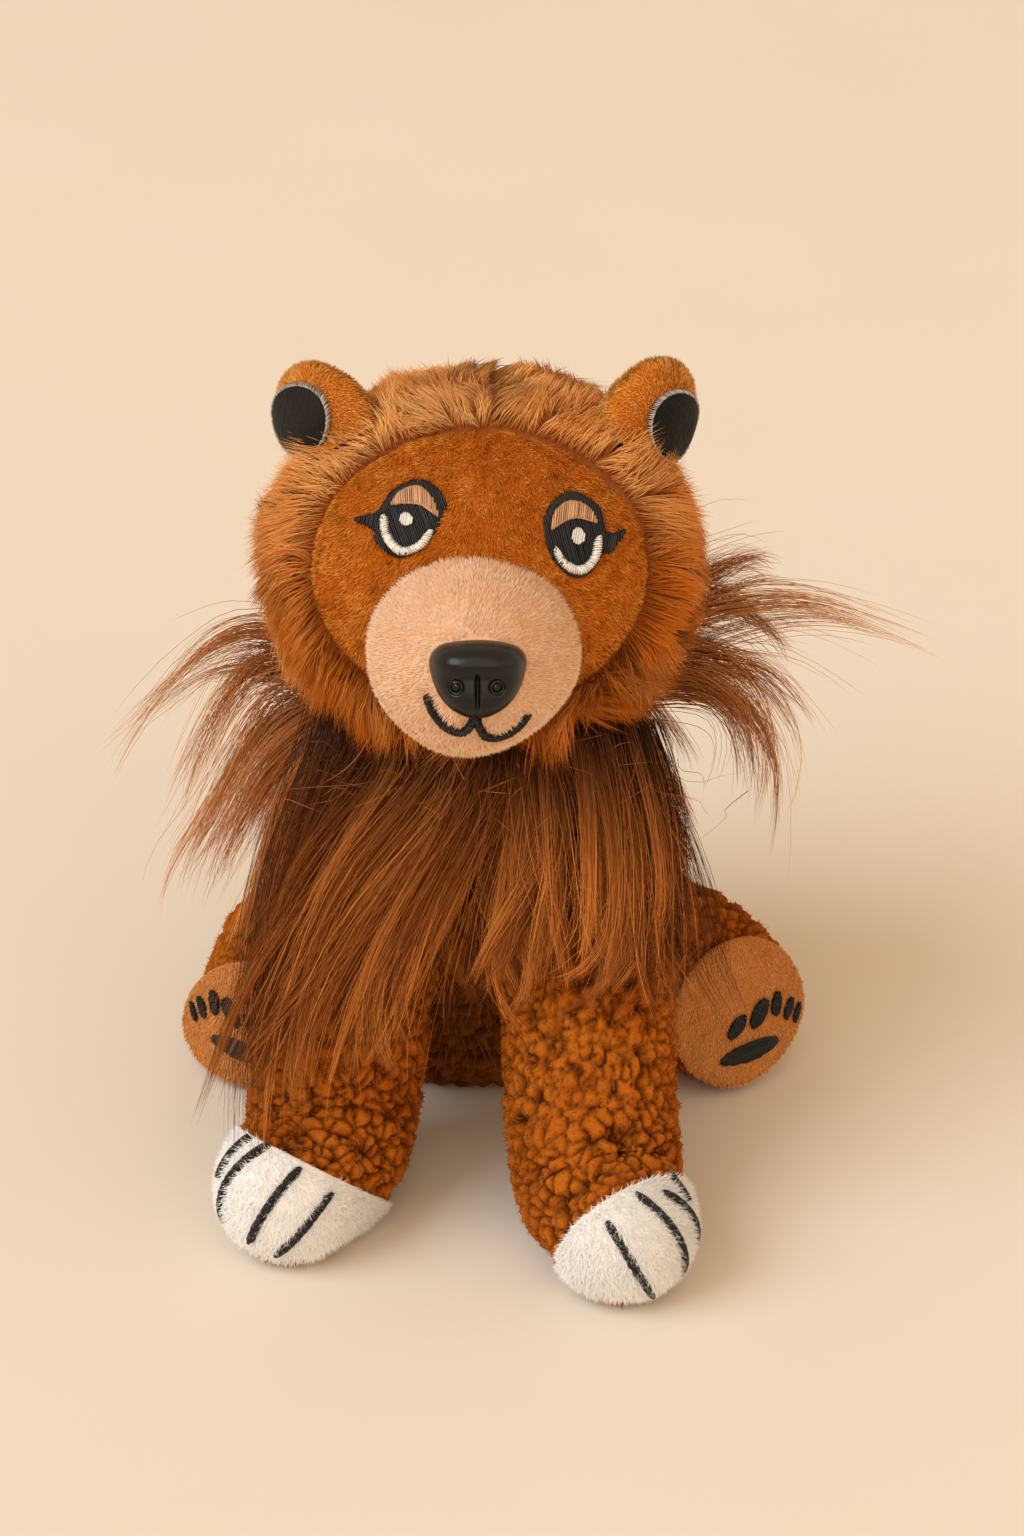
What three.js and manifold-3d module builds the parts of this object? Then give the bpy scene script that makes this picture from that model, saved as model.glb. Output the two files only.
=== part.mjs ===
// A seated plush bear with a long-haired mane, embroidered eyes, a plastic nose and a key ring at its nape.
// Millimetres and degrees. +Z is up, the bear faces -Y, and its own left side is +X.
// The origin is the middle of the flat seat, on the surface that the bear sits on.
import * as THREE from 'three';
import { mergeVertices } from 'three/addons/utils/BufferGeometryUtils.js';
import Module from 'manifold-3d';

const wasm = await Module();
wasm.setup();

// Sewing: what every seam, layer and thread shares
const GAP = 0.35; // clearance between neighbouring pieces
const FABRIC = 1.4; // thickness of a sewn cover, backing cloth and pile root together
const THREAD = 0.6; // thickness of a layer of embroidery
const FELT = 0.8; // thickness of the ear discs

// Torso: an egg that sits on its blunt end and leans forward
const SEAT_RADIUS = 20;
const BELLY_RADIUS = 31;
const BELLY_HEIGHT = 30;
const TORSO_DEPTH = 54;
const TORSO_HEIGHT = 63;
const TORSO_LEAN = -13;
const NECK_RADIUS = 15;

// Neck: a firm stuffed ball and post between torso and head
const NECK_BALL_RADIUS = 8.5;
const NECK_SINK = 2.5; // how far the ball's centre lies below the torso's top
const NECK_POST_RADIUS = 6.5;
const NECK_POST_REACH = 10; // how far the post goes up into the head
const HEAD_RISE = 7; // from the ball's centre to the underside of the head
const HEAD_FORWARD = 5;
const HEAD_ASIDE = 1.1;

// Head and face
const HEAD_WIDTH = 60.6;
const HEAD_DEPTH = 55;
const HEAD_HEIGHT = 51;
const FACE_PITCH = 20; // how far the face panel's seam looks up
const FACE_CAP = 11.4; // depth of the face panel in front of its seam
const FACE_INSET = 0.8; // the face's nap is shorter than the fur round it
const MUZZLE_WIDTH = 28.6;
const MUZZLE_LENGTH = 33.2;
const MUZZLE_HEIGHT = 28;
const MUZZLE_SINK = 3.5; // how far its centre lies behind the front of the head
const MUZZLE_DROP = 3;
const MUZZLE_ASIDE = -0.8;

// Nose: a moulded shape on a shank, held by a lock washer inside the muzzle
const NOSE_WIDTH = 15;
const NOSE_HEIGHT = 11.6;
const NOSE_BULGE = 2.2;
const NOSE_PITCH = 18.8; // how high it sits on the muzzle
const SHANK_RADIUS = 1.6;
const SHANK_LENGTH = 7.5;
const WASHER_RADIUS = 4.5;
const WASHER_THICKNESS = 1;
const WASHER_SEAT = 1.1; // room for the muzzle's curve in front of the washer

// Embroidered mouth: one thread line, given by places across the muzzle and degrees above its middle
const MOUTH_LINE = [[-6.3, 4], [-5.3, -6], [-3.7, -15], [-1.6, -18], [0.3, -8],
  [2.1, -22], [4.2, -25], [6.1, -21], [7.5, -12]];
const MOUTH_THREAD = 0.65;

// Embroidered eyes: places on the face, across and up from the middle of the head
const EYES = {
  right: { across: -9.5, up: 7.4, tilt: -22, outward: -1 },
  left: { across: 13.1, up: 4.6, tilt: 10, outward: 1 },
};
const EYE_WIDTH = 10;
const EYE_HEIGHT = 12.8;
const EYE_RIM = 1.25; // width of the black line round the eye
const EYELID_EDGE = 1.4; // height of the eyelid's lower edge above the eye's middle
const EYE_WHITE_WIDTH = 1.5;
const LASH_LENGTH = 3.4;
const LASH_WIDTH = 2.6;

// Ears
const EAR_WIDTH = 16;
const EAR_HEIGHT = 20; // of the whole lobe, before the head is cut from its root
const EAR_STAND = 11.6; // how far it stands out from the head
const EAR_THICKNESS = 8.6;
const EAR_ANGLE = 44; // how high they sit round the head, above its sides
const EAR_YAW = { right: -32, left: 40 };
const EAR_LEAN = 40;
const EAR_SHIFT = { right: [2, -1.5], left: [0, 0] }; // of each lobe, along its hinge line and up
const EAR_SWING = [-18, 18];
const DISC_WIDTH = 12;
const DISC_HEIGHT = 9.8;
const DISC_OUTSET = { right: 1, left: 1.8 }; // how far each disc sits towards the ear's outer side
const DISC_DROP = { right: 6.2, left: 7.6 }; // from the ear's tip to the disc's middle
const EDGING_WIDTH = 0.9;

// Front legs: shoulder places on the torso, then how far each paw reaches
const SHOULDER_DROP = 12; // from the torso's top down to the shoulder's middle
const SHOULDER_SPREAD = 15.2;
const SHOULDER_INSET = 2.5; // how far the shoulder's middle lies inside the chest
const SHOULDER_RADIUS = 13.8;
const KNEE_RADIUS = 12.5;
const ANKLE_RADIUS = 12.3;
const TOE_RADIUS = 10.2;
const PAW_PRESS = 0.5; // how far each paw is flattened by the surface under it
// Each toe cap's seam turns outwards by yaw, leans by slope and lies setback behind the toe's middle
const FRONT_LEGS = {
  right: { ankle: [-21.5, -47.5], toe: [-26.5, -57.8], yaw: -40, slope: -46, setback: 3.8 },
  left: { ankle: [17.9, -57], toe: [21.2, -67], yaw: 33, slope: -22, setback: -0.1 },
};
const SHOULDER_SWING = [-4, 20];
const CLAW_THREAD = 0.65;
// Each claw line's upper and lower end on the toe: [outwards, height in degrees]
const CLAW_LINES = {
  right: [[[-9.1, 62], [-4.4, -28]], [[-5.4, 63], [-1.2, -16]], [[0, 65], [4.8, -20]], [[3.8, 65], [6.4, 20]]],
  left: [[[-6, 48], [0.3, -40]], [[-1.2, 59], [4.3, -30]], [[2.6, 53], [7.6, -12]], [[5.6, 68], [6.6, 41]]],
};

// Rear legs: hip places, then where each sole faces
const HIP_HEIGHT = 13.4;
const HIP_SPREAD = 21.5;
const HIP_SETBACK = 2;
const THIGH_RADIUS = 13.5;
const SHIN_RADIUS = 12.8;
const SOLE_RADIUS = 10.2;
const REAR_PRESS = 0.4;
const REAR_LEGS = {
  right: { sole: [-36, -15.5], yaw: -26 },
  left: { sole: [42, -15.8], yaw: 26 },
};
const SOLE_PITCH = 18;
const HIP_SWING = [-8, 15];
// Paw print on each sole: [outwards, up, half width, half height, turn]
const HEEL_PRINT = [-1.1, -4, 5.4, 1.5, 7];
const TOE_PRINTS = [[-2.9, 0.4, 1.1, 2.2, -45], [1.2, 1.6, 1.25, 2.6, -38], [4.4, 2.4, 0.95, 1.95, -18],
  [6.5, 1.1, 0.7, 1.8, -28], [7.9, 0, 0.5, 1.6, -26]];

// Mane: a collar round the neck, and locks given as stations of [x, y, z, radius] from the neck ball's centre
const COLLAR_RADIUS = 18.5;
const COLLAR_THICKNESS = 5.6;
const COLLAR_RISE = 2.2;
const BIB_LOCKS = [
  [[-13, -16, 4.5, 4.5], [-25, -27, -1.5, 4.8], [-33, -33, -18.5, 4], [-38, -39, -40.5, 1.2]],
  [[-11, -18, 4.5, 4.8], [-20, -31, -0.5, 4.8], [-28, -40, -18.5, 4], [-33, -45, -38.5, 1.2]],
  [[-8, -19, 4.5, 5], [-15, -33, -0.5, 5], [-21, -43, -17.5, 4], [-26, -47.5, -34.5, 1.2]],
  [[0, -19, 4.5, 5], [-1, -30, -0.5, 5], [-1, -38, -11.5, 4], [1, -40, -23, 1.2]],
  [[8, -19, 4.5, 5], [14, -31, 0.5, 5], [19, -40.5, -10, 4], [24, -44.5, -19, 1.2]],
  [[13, -16, 4.5, 4.5], [24, -25, 2.5, 4.5], [31, -29, -4.5, 3.5], [35, -30.5, -12, 1.2]],
];
const RIGHT_LOCKS = [
  [[-23, 4.5, 8, 4], [-37.5, 4, 13.2, 2.6], [-46, 0.5, 6.5, 2], [-56.2, -2, -8.2, 0.9]],
  [[-22.5, 3.5, 6, 4], [-35, 2.5, 6.1, 2.8], [-43, -1, -3.5, 2.2], [-46.5, -3, -17.6, 0.9]],
  [[-20.8, 0, 3, 4.2], [-32, -3, 0.4, 2.8], [-41.5, -6.5, -11, 2.2], [-45.7, -7, -35.3, 0.9]],
  [[-19.2, -4, 2.5, 4.2], [-30, -6.5, -1.5, 2.8], [-38.5, -9, -15, 2.2], [-44, -9, -29.5, 0.9]],
];
const LEFT_LOCKS = [
  [[23, 6.5, 11, 4], [40.2, 7, 17.4, 2.6], [58, 8.7, 14.8, 1.8], [78.2, 10, 3.9, 0.8]],
  [[23.2, 6, 9, 4], [40, 6, 8.5, 2.8], [47.6, 6, -5, 2.2], [44, 6, -30.3, 0.9]],
  [[22.6, 5.2, 7.2, 4], [37, 5, 9.4, 2.8], [47.5, 4, 1, 2.2], [52.8, 4, -10.5, 0.9]],
  [[20.8, 3.4, 4.6, 4.4], [34, 3.5, 7.6, 2.8], [41.2, 2, -1, 2.2], [41.1, 2, -18.1, 0.9]],
];
const BACK_LOCKS = [
  [[-9, 13, 3.5, 5], [-15, 23, 0.5, 5], [-21, 30, -12.5, 4], [-25, 33, -28.5, 1.2]],
  [[0, 15, 3.5, 5], [0, 25, 0.5, 5], [0, 33, -10.5, 4], [0, 37, -24.5, 1.2]],
  [[9, 13, 3.5, 5], [15, 23, 0.5, 5], [21, 30, -12.5, 4], [25, 33, -28.5, 1.2]],
];

// Key ring and the ribbon that it hangs on
const RIBBON_WIDTH = 6;
const RIBBON_THICKNESS = 0.9;
const EYELET_RADIUS = 2.1;
const RIBBON_DROP = 3; // how far below the back of the head's middle the ribbon is sewn
const RING_RADIUS = 10.5;
const RING_WALL = 1.6;
const RING_DEPTH = 2.2;

// Mesh fineness
const BALL = [18, 11]; // columns and rows of a large ellipsoid
const MUZZLE_BALL = [14, 9];
const SMALL_BALL = [14, 8];
const TORSO_RINGS = 8;
const LIMB_SIDES = 12;
const LIMB_RINGS = 6;
const LIMB_CAP = 3; // rings in each round end
const LOCK_SIDES = 5;
const LOCK_RINGS = 4;
const LOCK_CAP = 1;
const SWING_STEPS = 3;
const WELD = 1e-4;
const FAR = 400; // larger than the bear, for half spaces

const X = new THREE.Vector3(1, 0, 0);
const Y = new THREE.Vector3(0, 1, 0);
const Z = new THREE.Vector3(0, 0, 1);
const rad = THREE.MathUtils.degToRad;

// Materials

const paint = (color, roughness, metalness = 0) =>
  new THREE.MeshStandardMaterial({ color, roughness, metalness });
const MANE_HAIR = paint('#6e3c18', 0.7);
const HEAD_FUR = paint('#a3622c', 0.85);
const FACE_NAP = paint('#a75f14', 0.95);
const TAN_NAP = paint('#d9a477', 0.95);
const SOLE_NAP = paint('#bd8450', 0.95);
const SHERPA = paint('#a55c17', 1);
const WHITE_NAP = paint('#ece4dc', 0.95);
const BLACK_THREAD = paint('#1b1715', 0.6);
const WHITE_THREAD = paint('#e6e1da', 0.55);
const LID_THREAD = paint('#d2a273', 0.5);
const GREY_THREAD = paint('#a8a29b', 0.7);
const BLACK_FELT = paint('#221e1c', 1);
const NOSE_PLASTIC = paint('#1c1a1a', 0.35);
const CLEAR_PLASTIC = paint('#d8d8d4', 0.4);
const FIBRE_FILL = paint('#f2f0ea', 1);
const RIBBON = paint('#3a2415', 0.8);
const STEEL = paint('#b9bbbd', 0.25, 1);

// Solids

// A closed geometry as a solid: only positions are kept, shared corners are merged and flat slivers dropped.
function solid(geometry) {
  const bare = new THREE.BufferGeometry();
  bare.setAttribute('position', geometry.getAttribute('position').clone());
  bare.setIndex(geometry.index);
  const merged = mergeVertices(bare, WELD);
  const corners = merged.index.array;
  const faces = [];
  for (let i = 0; i < corners.length; i += 3) {
    const [a, b, c] = corners.slice(i, i + 3);
    if (a !== b && b !== c && c !== a) faces.push(a, b, c);
  }
  const vertProperties = new Float32Array(merged.getAttribute('position').array);
  return new wasm.Manifold(new wasm.Mesh({ numProp: 3, vertProperties, triVerts: new Uint32Array(faces) }));
}

function piece(name, body, material) {
  const { vertProperties, triVerts } = body.getMesh();
  const geometry = new THREE.BufferGeometry();
  geometry.setAttribute('position', new THREE.BufferAttribute(new Float32Array(vertProperties), 3));
  geometry.setIndex(new THREE.BufferAttribute(new Uint32Array(triVerts), 1));
  geometry.computeVertexNormals();
  const mesh = new THREE.Mesh(geometry, material);
  mesh.name = name;
  return mesh;
}

function group(position, ...children) {
  const made = new THREE.Group();
  made.position.copy(position);
  made.add(...children);
  return made;
}

const moved = (body, by, sign = 1) => body.translate([sign * by.x, sign * by.y, sign * by.z]);
const turned = (body, axis, angle) => {
  const matrix = new THREE.Matrix4().makeRotationAxis(axis, rad(angle));
  return body.transform(matrix.elements);
};

function ellipsoid(half, grow = 0, centre = new THREE.Vector3(), [columns, rows] = BALL) {
  const geometry = new THREE.SphereGeometry(1, columns, rows);
  geometry.scale(half.x + grow, half.y + grow, half.z + grow);
  geometry.translate(centre.x, centre.y, centre.z);
  return solid(geometry);
}

// Everything on the side of a plane that its normal points to.
function halfSpace(point, normal) {
  const geometry = new THREE.BoxGeometry(FAR, FAR, FAR);
  geometry.translate(0, 0, FAR / 2);
  geometry.applyQuaternion(new THREE.Quaternion().setFromUnitVectors(Z, normal.clone().normalize()));
  geometry.translate(point.x, point.y, point.z);
  return solid(geometry);
}

// A flat outline pushed along the third axis of a frame that stands at a point.
function prism(shape, depth, point, across, up) {
  const geometry = new THREE.ExtrudeGeometry(shape, { depth, bevelEnabled: false, curveSegments: 6 });
  const frame = new THREE.Matrix4().makeBasis(across, up, across.clone().cross(up)).setPosition(point);
  return solid(geometry.applyMatrix4(frame));
}

function rod(radius, from, to, sides = 16) {
  const along = to.clone().sub(from);
  const geometry = new THREE.CylinderGeometry(radius, radius, along.length(), sides);
  geometry.translate(0, along.length() / 2, 0);
  geometry.applyQuaternion(new THREE.Quaternion().setFromUnitVectors(Y, along.normalize()));
  geometry.translate(from.x, from.y, from.z);
  return solid(geometry);
}

// A round body carried along a curve through its stations, with a radius at each and round ends. A lathe
// gives the rings, one for each whole height, and each ring is then moved to its place on the curve.
function limb(stations, side, grow = 0, sides = LIMB_SIDES, rings = LIMB_RINGS, cap = LIMB_CAP) {
  const curve = new THREE.CatmullRomCurve3(stations.map(([x, y, z]) => new THREE.Vector3(x, y, z)));
  const swell = new THREE.SplineCurve(stations.map((station, i) => new THREE.Vector2(i, station[3] + grow)));
  const places = [];
  const place = (t, radius, ahead) => {
    const along = curve.getTangent(t);
    places.push({ centre: curve.getPoint(t).addScaledVector(along, ahead), radius, along });
  };
  const first = swell.getPoint(0).y;
  const last = swell.getPoint(1).y;
  for (let i = 0; i < cap; i += 1) {
    const angle = (Math.PI / 2) * (i / cap);
    place(0, first * Math.sin(angle), -first * Math.cos(angle));
  }
  for (let i = 0; i <= rings; i += 1) place(i / rings, swell.getPoint(i / rings).y, 0);
  for (let i = cap - 1; i >= 0; i -= 1) {
    const angle = (Math.PI / 2) * (i / cap);
    place(1, last * Math.sin(angle), last * Math.cos(angle));
  }
  const profile = places.map(({ radius }, i) => new THREE.Vector2(radius, i));
  const geometry = new THREE.LatheGeometry(profile, sides);
  const position = geometry.getAttribute('position');
  for (let i = 0; i < position.count; i += 1) {
    const { centre, along } = places[Math.round(position.getY(i))];
    const across = side.clone().addScaledVector(along, -side.dot(along)).normalize();
    const out = across.clone().cross(along);
    const at = centre.clone().addScaledVector(across, position.getX(i));
    at.addScaledVector(out, position.getZ(i));
    position.setXYZ(i, at.x, at.y, at.z);
  }
  return solid(geometry);
}

// A thread of even thickness along a smooth line of points.
function threadLine(points, radius, steps) {
  const section = new THREE.Shape().absarc(0, 0, radius, 0, 2 * Math.PI);
  const extrudePath = new THREE.CatmullRomCurve3(points);
  const options = { steps, extrudePath, curveSegments: 3, bevelEnabled: false };
  return solid(new THREE.ExtrudeGeometry(section, options));
}

// What is left of a piece that swings about its own origin once a still neighbour is cut away all through
// the swing.
function carve(body, neighbour, axis, [from, to]) {
  let left = body;
  for (let i = 0; i <= SWING_STEPS; i += 1) {
    const angle = from + ((to - from) * i) / SWING_STEPS;
    left = left.subtract(turned(neighbour, axis, -angle));
  }
  return left;
}

// The main body of a cut piece, without the scraps that a cut leaves beside it.
const mainBody = (body) =>
  body.decompose().reduce((main, part) => (part.volume() > main.volume() ? part : main));

const ellipse = (width, height, x = 0, y = 0, turn = 0) =>
  new THREE.Shape().absellipse(x, y, width / 2, height / 2, 0, 2 * Math.PI, false, rad(turn));

// Torso

const torsoLean = (height) => TORSO_LEAN * (height / TORSO_HEIGHT) ** 1.2;

// Half the torso's width: a quarter ellipse from the seat out to the belly, then a round shoulder in to
// the neck.
function torsoRadius(height) {
  if (height < BELLY_HEIGHT) {
    const below = 1 - height / BELLY_HEIGHT;
    return SEAT_RADIUS + (BELLY_RADIUS - SEAT_RADIUS) * Math.sqrt(1 - below * below);
  }
  const above = (height - BELLY_HEIGHT) / (TORSO_HEIGHT - BELLY_HEIGHT);
  return NECK_RADIUS + (BELLY_RADIUS - NECK_RADIUS) * Math.cos((Math.PI / 2) * above ** 1.5);
}

const torsoFlatness = TORSO_DEPTH / (2 * BELLY_RADIUS);

function torsoSolid(grow) {
  const profile = [new THREE.Vector2(0, -grow)];
  for (let i = 0; i <= TORSO_RINGS; i += 1) {
    const height = (TORSO_HEIGHT * i) / TORSO_RINGS;
    const end = i === 0 ? -grow : grow;
    const spread = i === 0 || i === TORSO_RINGS ? end : 0;
    profile.push(new THREE.Vector2(torsoRadius(height) + grow, height + spread));
  }
  profile.push(new THREE.Vector2(0, TORSO_HEIGHT + grow));
  const geometry = new THREE.LatheGeometry(profile, BALL[0]);
  const position = geometry.getAttribute('position');
  for (let i = 0; i < position.count; i += 1) {
    const height = position.getY(i);
    const depth = torsoLean(Math.max(height, 0)) - torsoFlatness * position.getZ(i);
    position.setXYZ(i, position.getX(i), depth, height);
  }
  return solid(geometry);
}

const neck = new THREE.Vector3(0, torsoLean(TORSO_HEIGHT), TORSO_HEIGHT - NECK_SINK);
const torsoClear = torsoSolid(GAP);

function torsoPieces() {
  const ball = new THREE.Vector3(NECK_BALL_RADIUS, NECK_BALL_RADIUS, NECK_BALL_RADIUS);
  const socket = ellipsoid(ball, GAP, neck, SMALL_BALL);
  const cover = torsoSolid(0).subtract(torsoSolid(-FABRIC)).subtract(socket);
  const filling = torsoSolid(-FABRIC - GAP).subtract(socket);
  return [piece('body_cover', cover, SHERPA), piece('body_stuffing', filling, FIBRE_FILL)];
}

// Neck post and its ball, about the ball's centre

const postTop = HEAD_RISE + NECK_POST_REACH;

function neckSolid(grow) {
  const ball = new THREE.Vector3(NECK_BALL_RADIUS, NECK_BALL_RADIUS, NECK_BALL_RADIUS);
  const post = rod(NECK_POST_RADIUS + grow, new THREE.Vector3(), new THREE.Vector3(0, 0, postTop + grow));
  return ellipsoid(ball, grow, new THREE.Vector3(), SMALL_BALL).add(post);
}

// Head, about its own middle

const headHalf = new THREE.Vector3(HEAD_WIDTH / 2, HEAD_DEPTH / 2, HEAD_HEIGHT / 2);
const headFromNeck = new THREE.Vector3(HEAD_ASIDE, -HEAD_FORWARD, HEAD_RISE + headHalf.z);
const faceAxis = new THREE.Vector3(0, -Math.cos(rad(FACE_PITCH)), Math.sin(rad(FACE_PITCH)));
const faceUp = new THREE.Vector3(0, Math.sin(rad(FACE_PITCH)), Math.cos(rad(FACE_PITCH)));
const faceSeam = faceAxis.clone().multiply(headHalf).length() - FACE_CAP;
const muzzleHalf = new THREE.Vector3(MUZZLE_WIDTH / 2, MUZZLE_LENGTH / 2, MUZZLE_HEIGHT / 2);
const muzzleCentre = new THREE.Vector3(MUZZLE_ASIDE, MUZZLE_SINK - headHalf.y, -MUZZLE_DROP);

const headSolid = (grow) => ellipsoid(headHalf, grow);
const faceSolid = (grow) => ellipsoid(headHalf, grow - FACE_INSET);
const muzzleSolid = (grow) => ellipsoid(muzzleHalf, grow, muzzleCentre, MUZZLE_BALL);

// A place on the muzzle, from its distance across and its height in degrees, raised off the cloth.
function onMuzzle(across, pitch, raise) {
  const half = muzzleHalf.clone().addScalar(raise);
  const ring = Math.sqrt(1 - (across / half.x) ** 2);
  const ahead = -half.y * ring * Math.cos(rad(pitch));
  return new THREE.Vector3(across, ahead, half.z * ring * Math.sin(rad(pitch))).add(muzzleCentre);
}

// Nose: where it sits, the way it faces, and its outline, wide above and narrow below

const noseSeat = onMuzzle(0, NOSE_PITCH, 0);
const noseOut = noseSeat.clone().sub(muzzleCentre).divide(muzzleHalf).divide(muzzleHalf).normalize();
const washerDepth = FABRIC + GAP + WASHER_SEAT;

function noseOutline() {
  const half = NOSE_WIDTH / 2 - NOSE_BULGE;
  const top = NOSE_HEIGHT / 2 - NOSE_BULGE;
  const shape = new THREE.Shape().moveTo(0, -top);
  shape.bezierCurveTo(half * 0.55, -top, half, -top * 0.1, half, top * 0.45);
  shape.bezierCurveTo(half, top, half * 0.6, top, 0, top);
  shape.bezierCurveTo(-half * 0.6, top, -half, top, -half, top * 0.45);
  shape.bezierCurveTo(-half, -top * 0.1, -half * 0.55, -top, 0, -top);
  return shape;
}

function noseSolid() {
  const bevel = { bevelSize: NOSE_BULGE, bevelThickness: NOSE_BULGE, bevelSegments: 3 };
  const geometry = new THREE.ExtrudeGeometry(noseOutline(), { depth: GAP, curveSegments: 4, ...bevel });
  const frame = new THREE.Matrix4().makeBasis(X, noseOut.clone().cross(X), noseOut).setPosition(noseSeat);
  const cap = solid(geometry.applyMatrix4(frame)).subtract(muzzleSolid(GAP));
  const shankEnd = noseSeat.clone().addScaledVector(noseOut, -SHANK_LENGTH);
  return cap.add(rod(SHANK_RADIUS, shankEnd, noseSeat.clone().addScaledVector(noseOut, NOSE_BULGE), 10));
}

function washerSolid() {
  const front = noseSeat.clone().addScaledVector(noseOut, -washerDepth);
  const back = front.clone().addScaledVector(noseOut, -WASHER_THICKNESS);
  const beyond = noseOut.clone().multiplyScalar(WASHER_THICKNESS);
  const hole = rod(SHANK_RADIUS + GAP, back.clone().sub(beyond), front.clone().add(beyond), 10);
  return rod(WASHER_RADIUS, back, front).subtract(hole);
}

// The pocket in the stuffing that leaves room for shank and washer.
function nosePocket() {
  const end = noseSeat.clone().addScaledVector(noseOut, -SHANK_LENGTH - GAP);
  return rod(WASHER_RADIUS + GAP, end, noseSeat.clone().addScaledVector(noseOut, NOSE_BULGE));
}

function headPieces() {
  const seam = faceAxis.clone().multiplyScalar(faceSeam);
  const ahead = halfSpace(seam, faceAxis);
  const aheadOfSeam = halfSpace(seam.clone().addScaledVector(faceAxis, GAP), faceAxis);
  const neckPost = moved(neckSolid(GAP), headFromNeck, -1);
  const below = headFromNeck.clone().negate();
  const neckMouth = rod(NECK_BALL_RADIUS + FABRIC, below, below.clone().setZ(0));
  const furred = headSolid(0).subtract(headSolid(-FABRIC));
  const cover = furred.subtract(ahead).subtract(neckMouth).subtract(muzzleSolid(GAP));
  const face = faceSolid(0).subtract(faceSolid(-FABRIC)).intersect(aheadOfSeam).subtract(muzzleSolid(GAP));
  const shankEnd = noseSeat.clone().addScaledVector(noseOut, -SHANK_LENGTH);
  const shankHole = rod(SHANK_RADIUS + GAP, shankEnd, noseSeat.clone().addScaledVector(noseOut, FABRIC), 10);
  const snout = muzzleSolid(0).subtract(muzzleSolid(-FABRIC));
  const muzzle = snout.subtract(faceSolid(-FABRIC)).subtract(shankHole);
  const fibre = faceSolid(-FABRIC - GAP).add(muzzleSolid(-FABRIC - GAP));
  const filling = fibre.subtract(neckPost).subtract(nosePocket());
  const mouthPoints = MOUTH_LINE.map(([across, pitch]) => onMuzzle(across, pitch, GAP + MOUTH_THREAD));
  return [
    piece('head_cover', cover, HEAD_FUR),
    piece('face_panel', face, FACE_NAP),
    piece('muzzle_cover', muzzle, TAN_NAP),
    piece('head_stuffing', filling, FIBRE_FILL),
    piece('nose', noseSolid(), NOSE_PLASTIC),
    piece('nose_lock_washer', washerSolid(), CLEAR_PLASTIC),
    piece('mouth_stitching', threadLine(mouthPoints, MOUTH_THREAD, 20), BLACK_THREAD),
  ];
}

// Eyes: a black ground with a lash, and on it an eyelid and a white crescent

function eyePieces(side) {
  const { across, up, tilt, outward } = EYES[side];
  const point = new THREE.Vector3(across, 0, 0).addScaledVector(faceUp, up);
  const right = X.clone().applyAxisAngle(faceAxis, rad(tilt));
  const upward = faceUp.clone().applyAxisAngle(faceAxis, rad(tilt));
  const layer = (raise) => faceSolid(raise + THREAD).subtract(faceSolid(raise));
  const cut = (shape) => prism(shape, FAR, point, right, upward);
  const lash = new THREE.Shape().moveTo(0, LASH_WIDTH / 2);
  lash.lineTo(outward * (EYE_WIDTH / 2 + LASH_LENGTH), LASH_WIDTH / 4);
  lash.lineTo(0, -LASH_WIDTH / 2);
  const ground = cut(ellipse(EYE_WIDTH, EYE_HEIGHT)).add(prism(lash, FAR, point, X, faceUp));
  const inside = cut(ellipse(EYE_WIDTH - 2 * EYE_RIM, EYE_HEIGHT - 2 * EYE_RIM));
  const lidSpace = halfSpace(point.clone().addScaledVector(upward, EYELID_EDGE), upward);
  const irisWidth = EYE_WIDTH - 2 * EYE_RIM - 2 * EYE_WHITE_WIDTH;
  const iris = cut(ellipse(irisWidth, EYE_HEIGHT, 0, EYE_RIM + EYE_WHITE_WIDTH));
  const whiteSpace = halfSpace(point, upward.clone().negate());
  const top = layer(2 * GAP + THREAD);
  return [
    piece(`${side}_eye_ground`, layer(GAP).intersect(ground), BLACK_THREAD),
    piece(`${side}_eyelid`, top.intersect(inside).intersect(lidSpace), LID_THREAD),
    piece(`${side}_eye_white`, top.intersect(inside).subtract(iris).intersect(whiteSpace), WHITE_THREAD),
  ];
}

// Ears, each about the middle of its hinge line, with its face towards its own -Y

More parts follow.
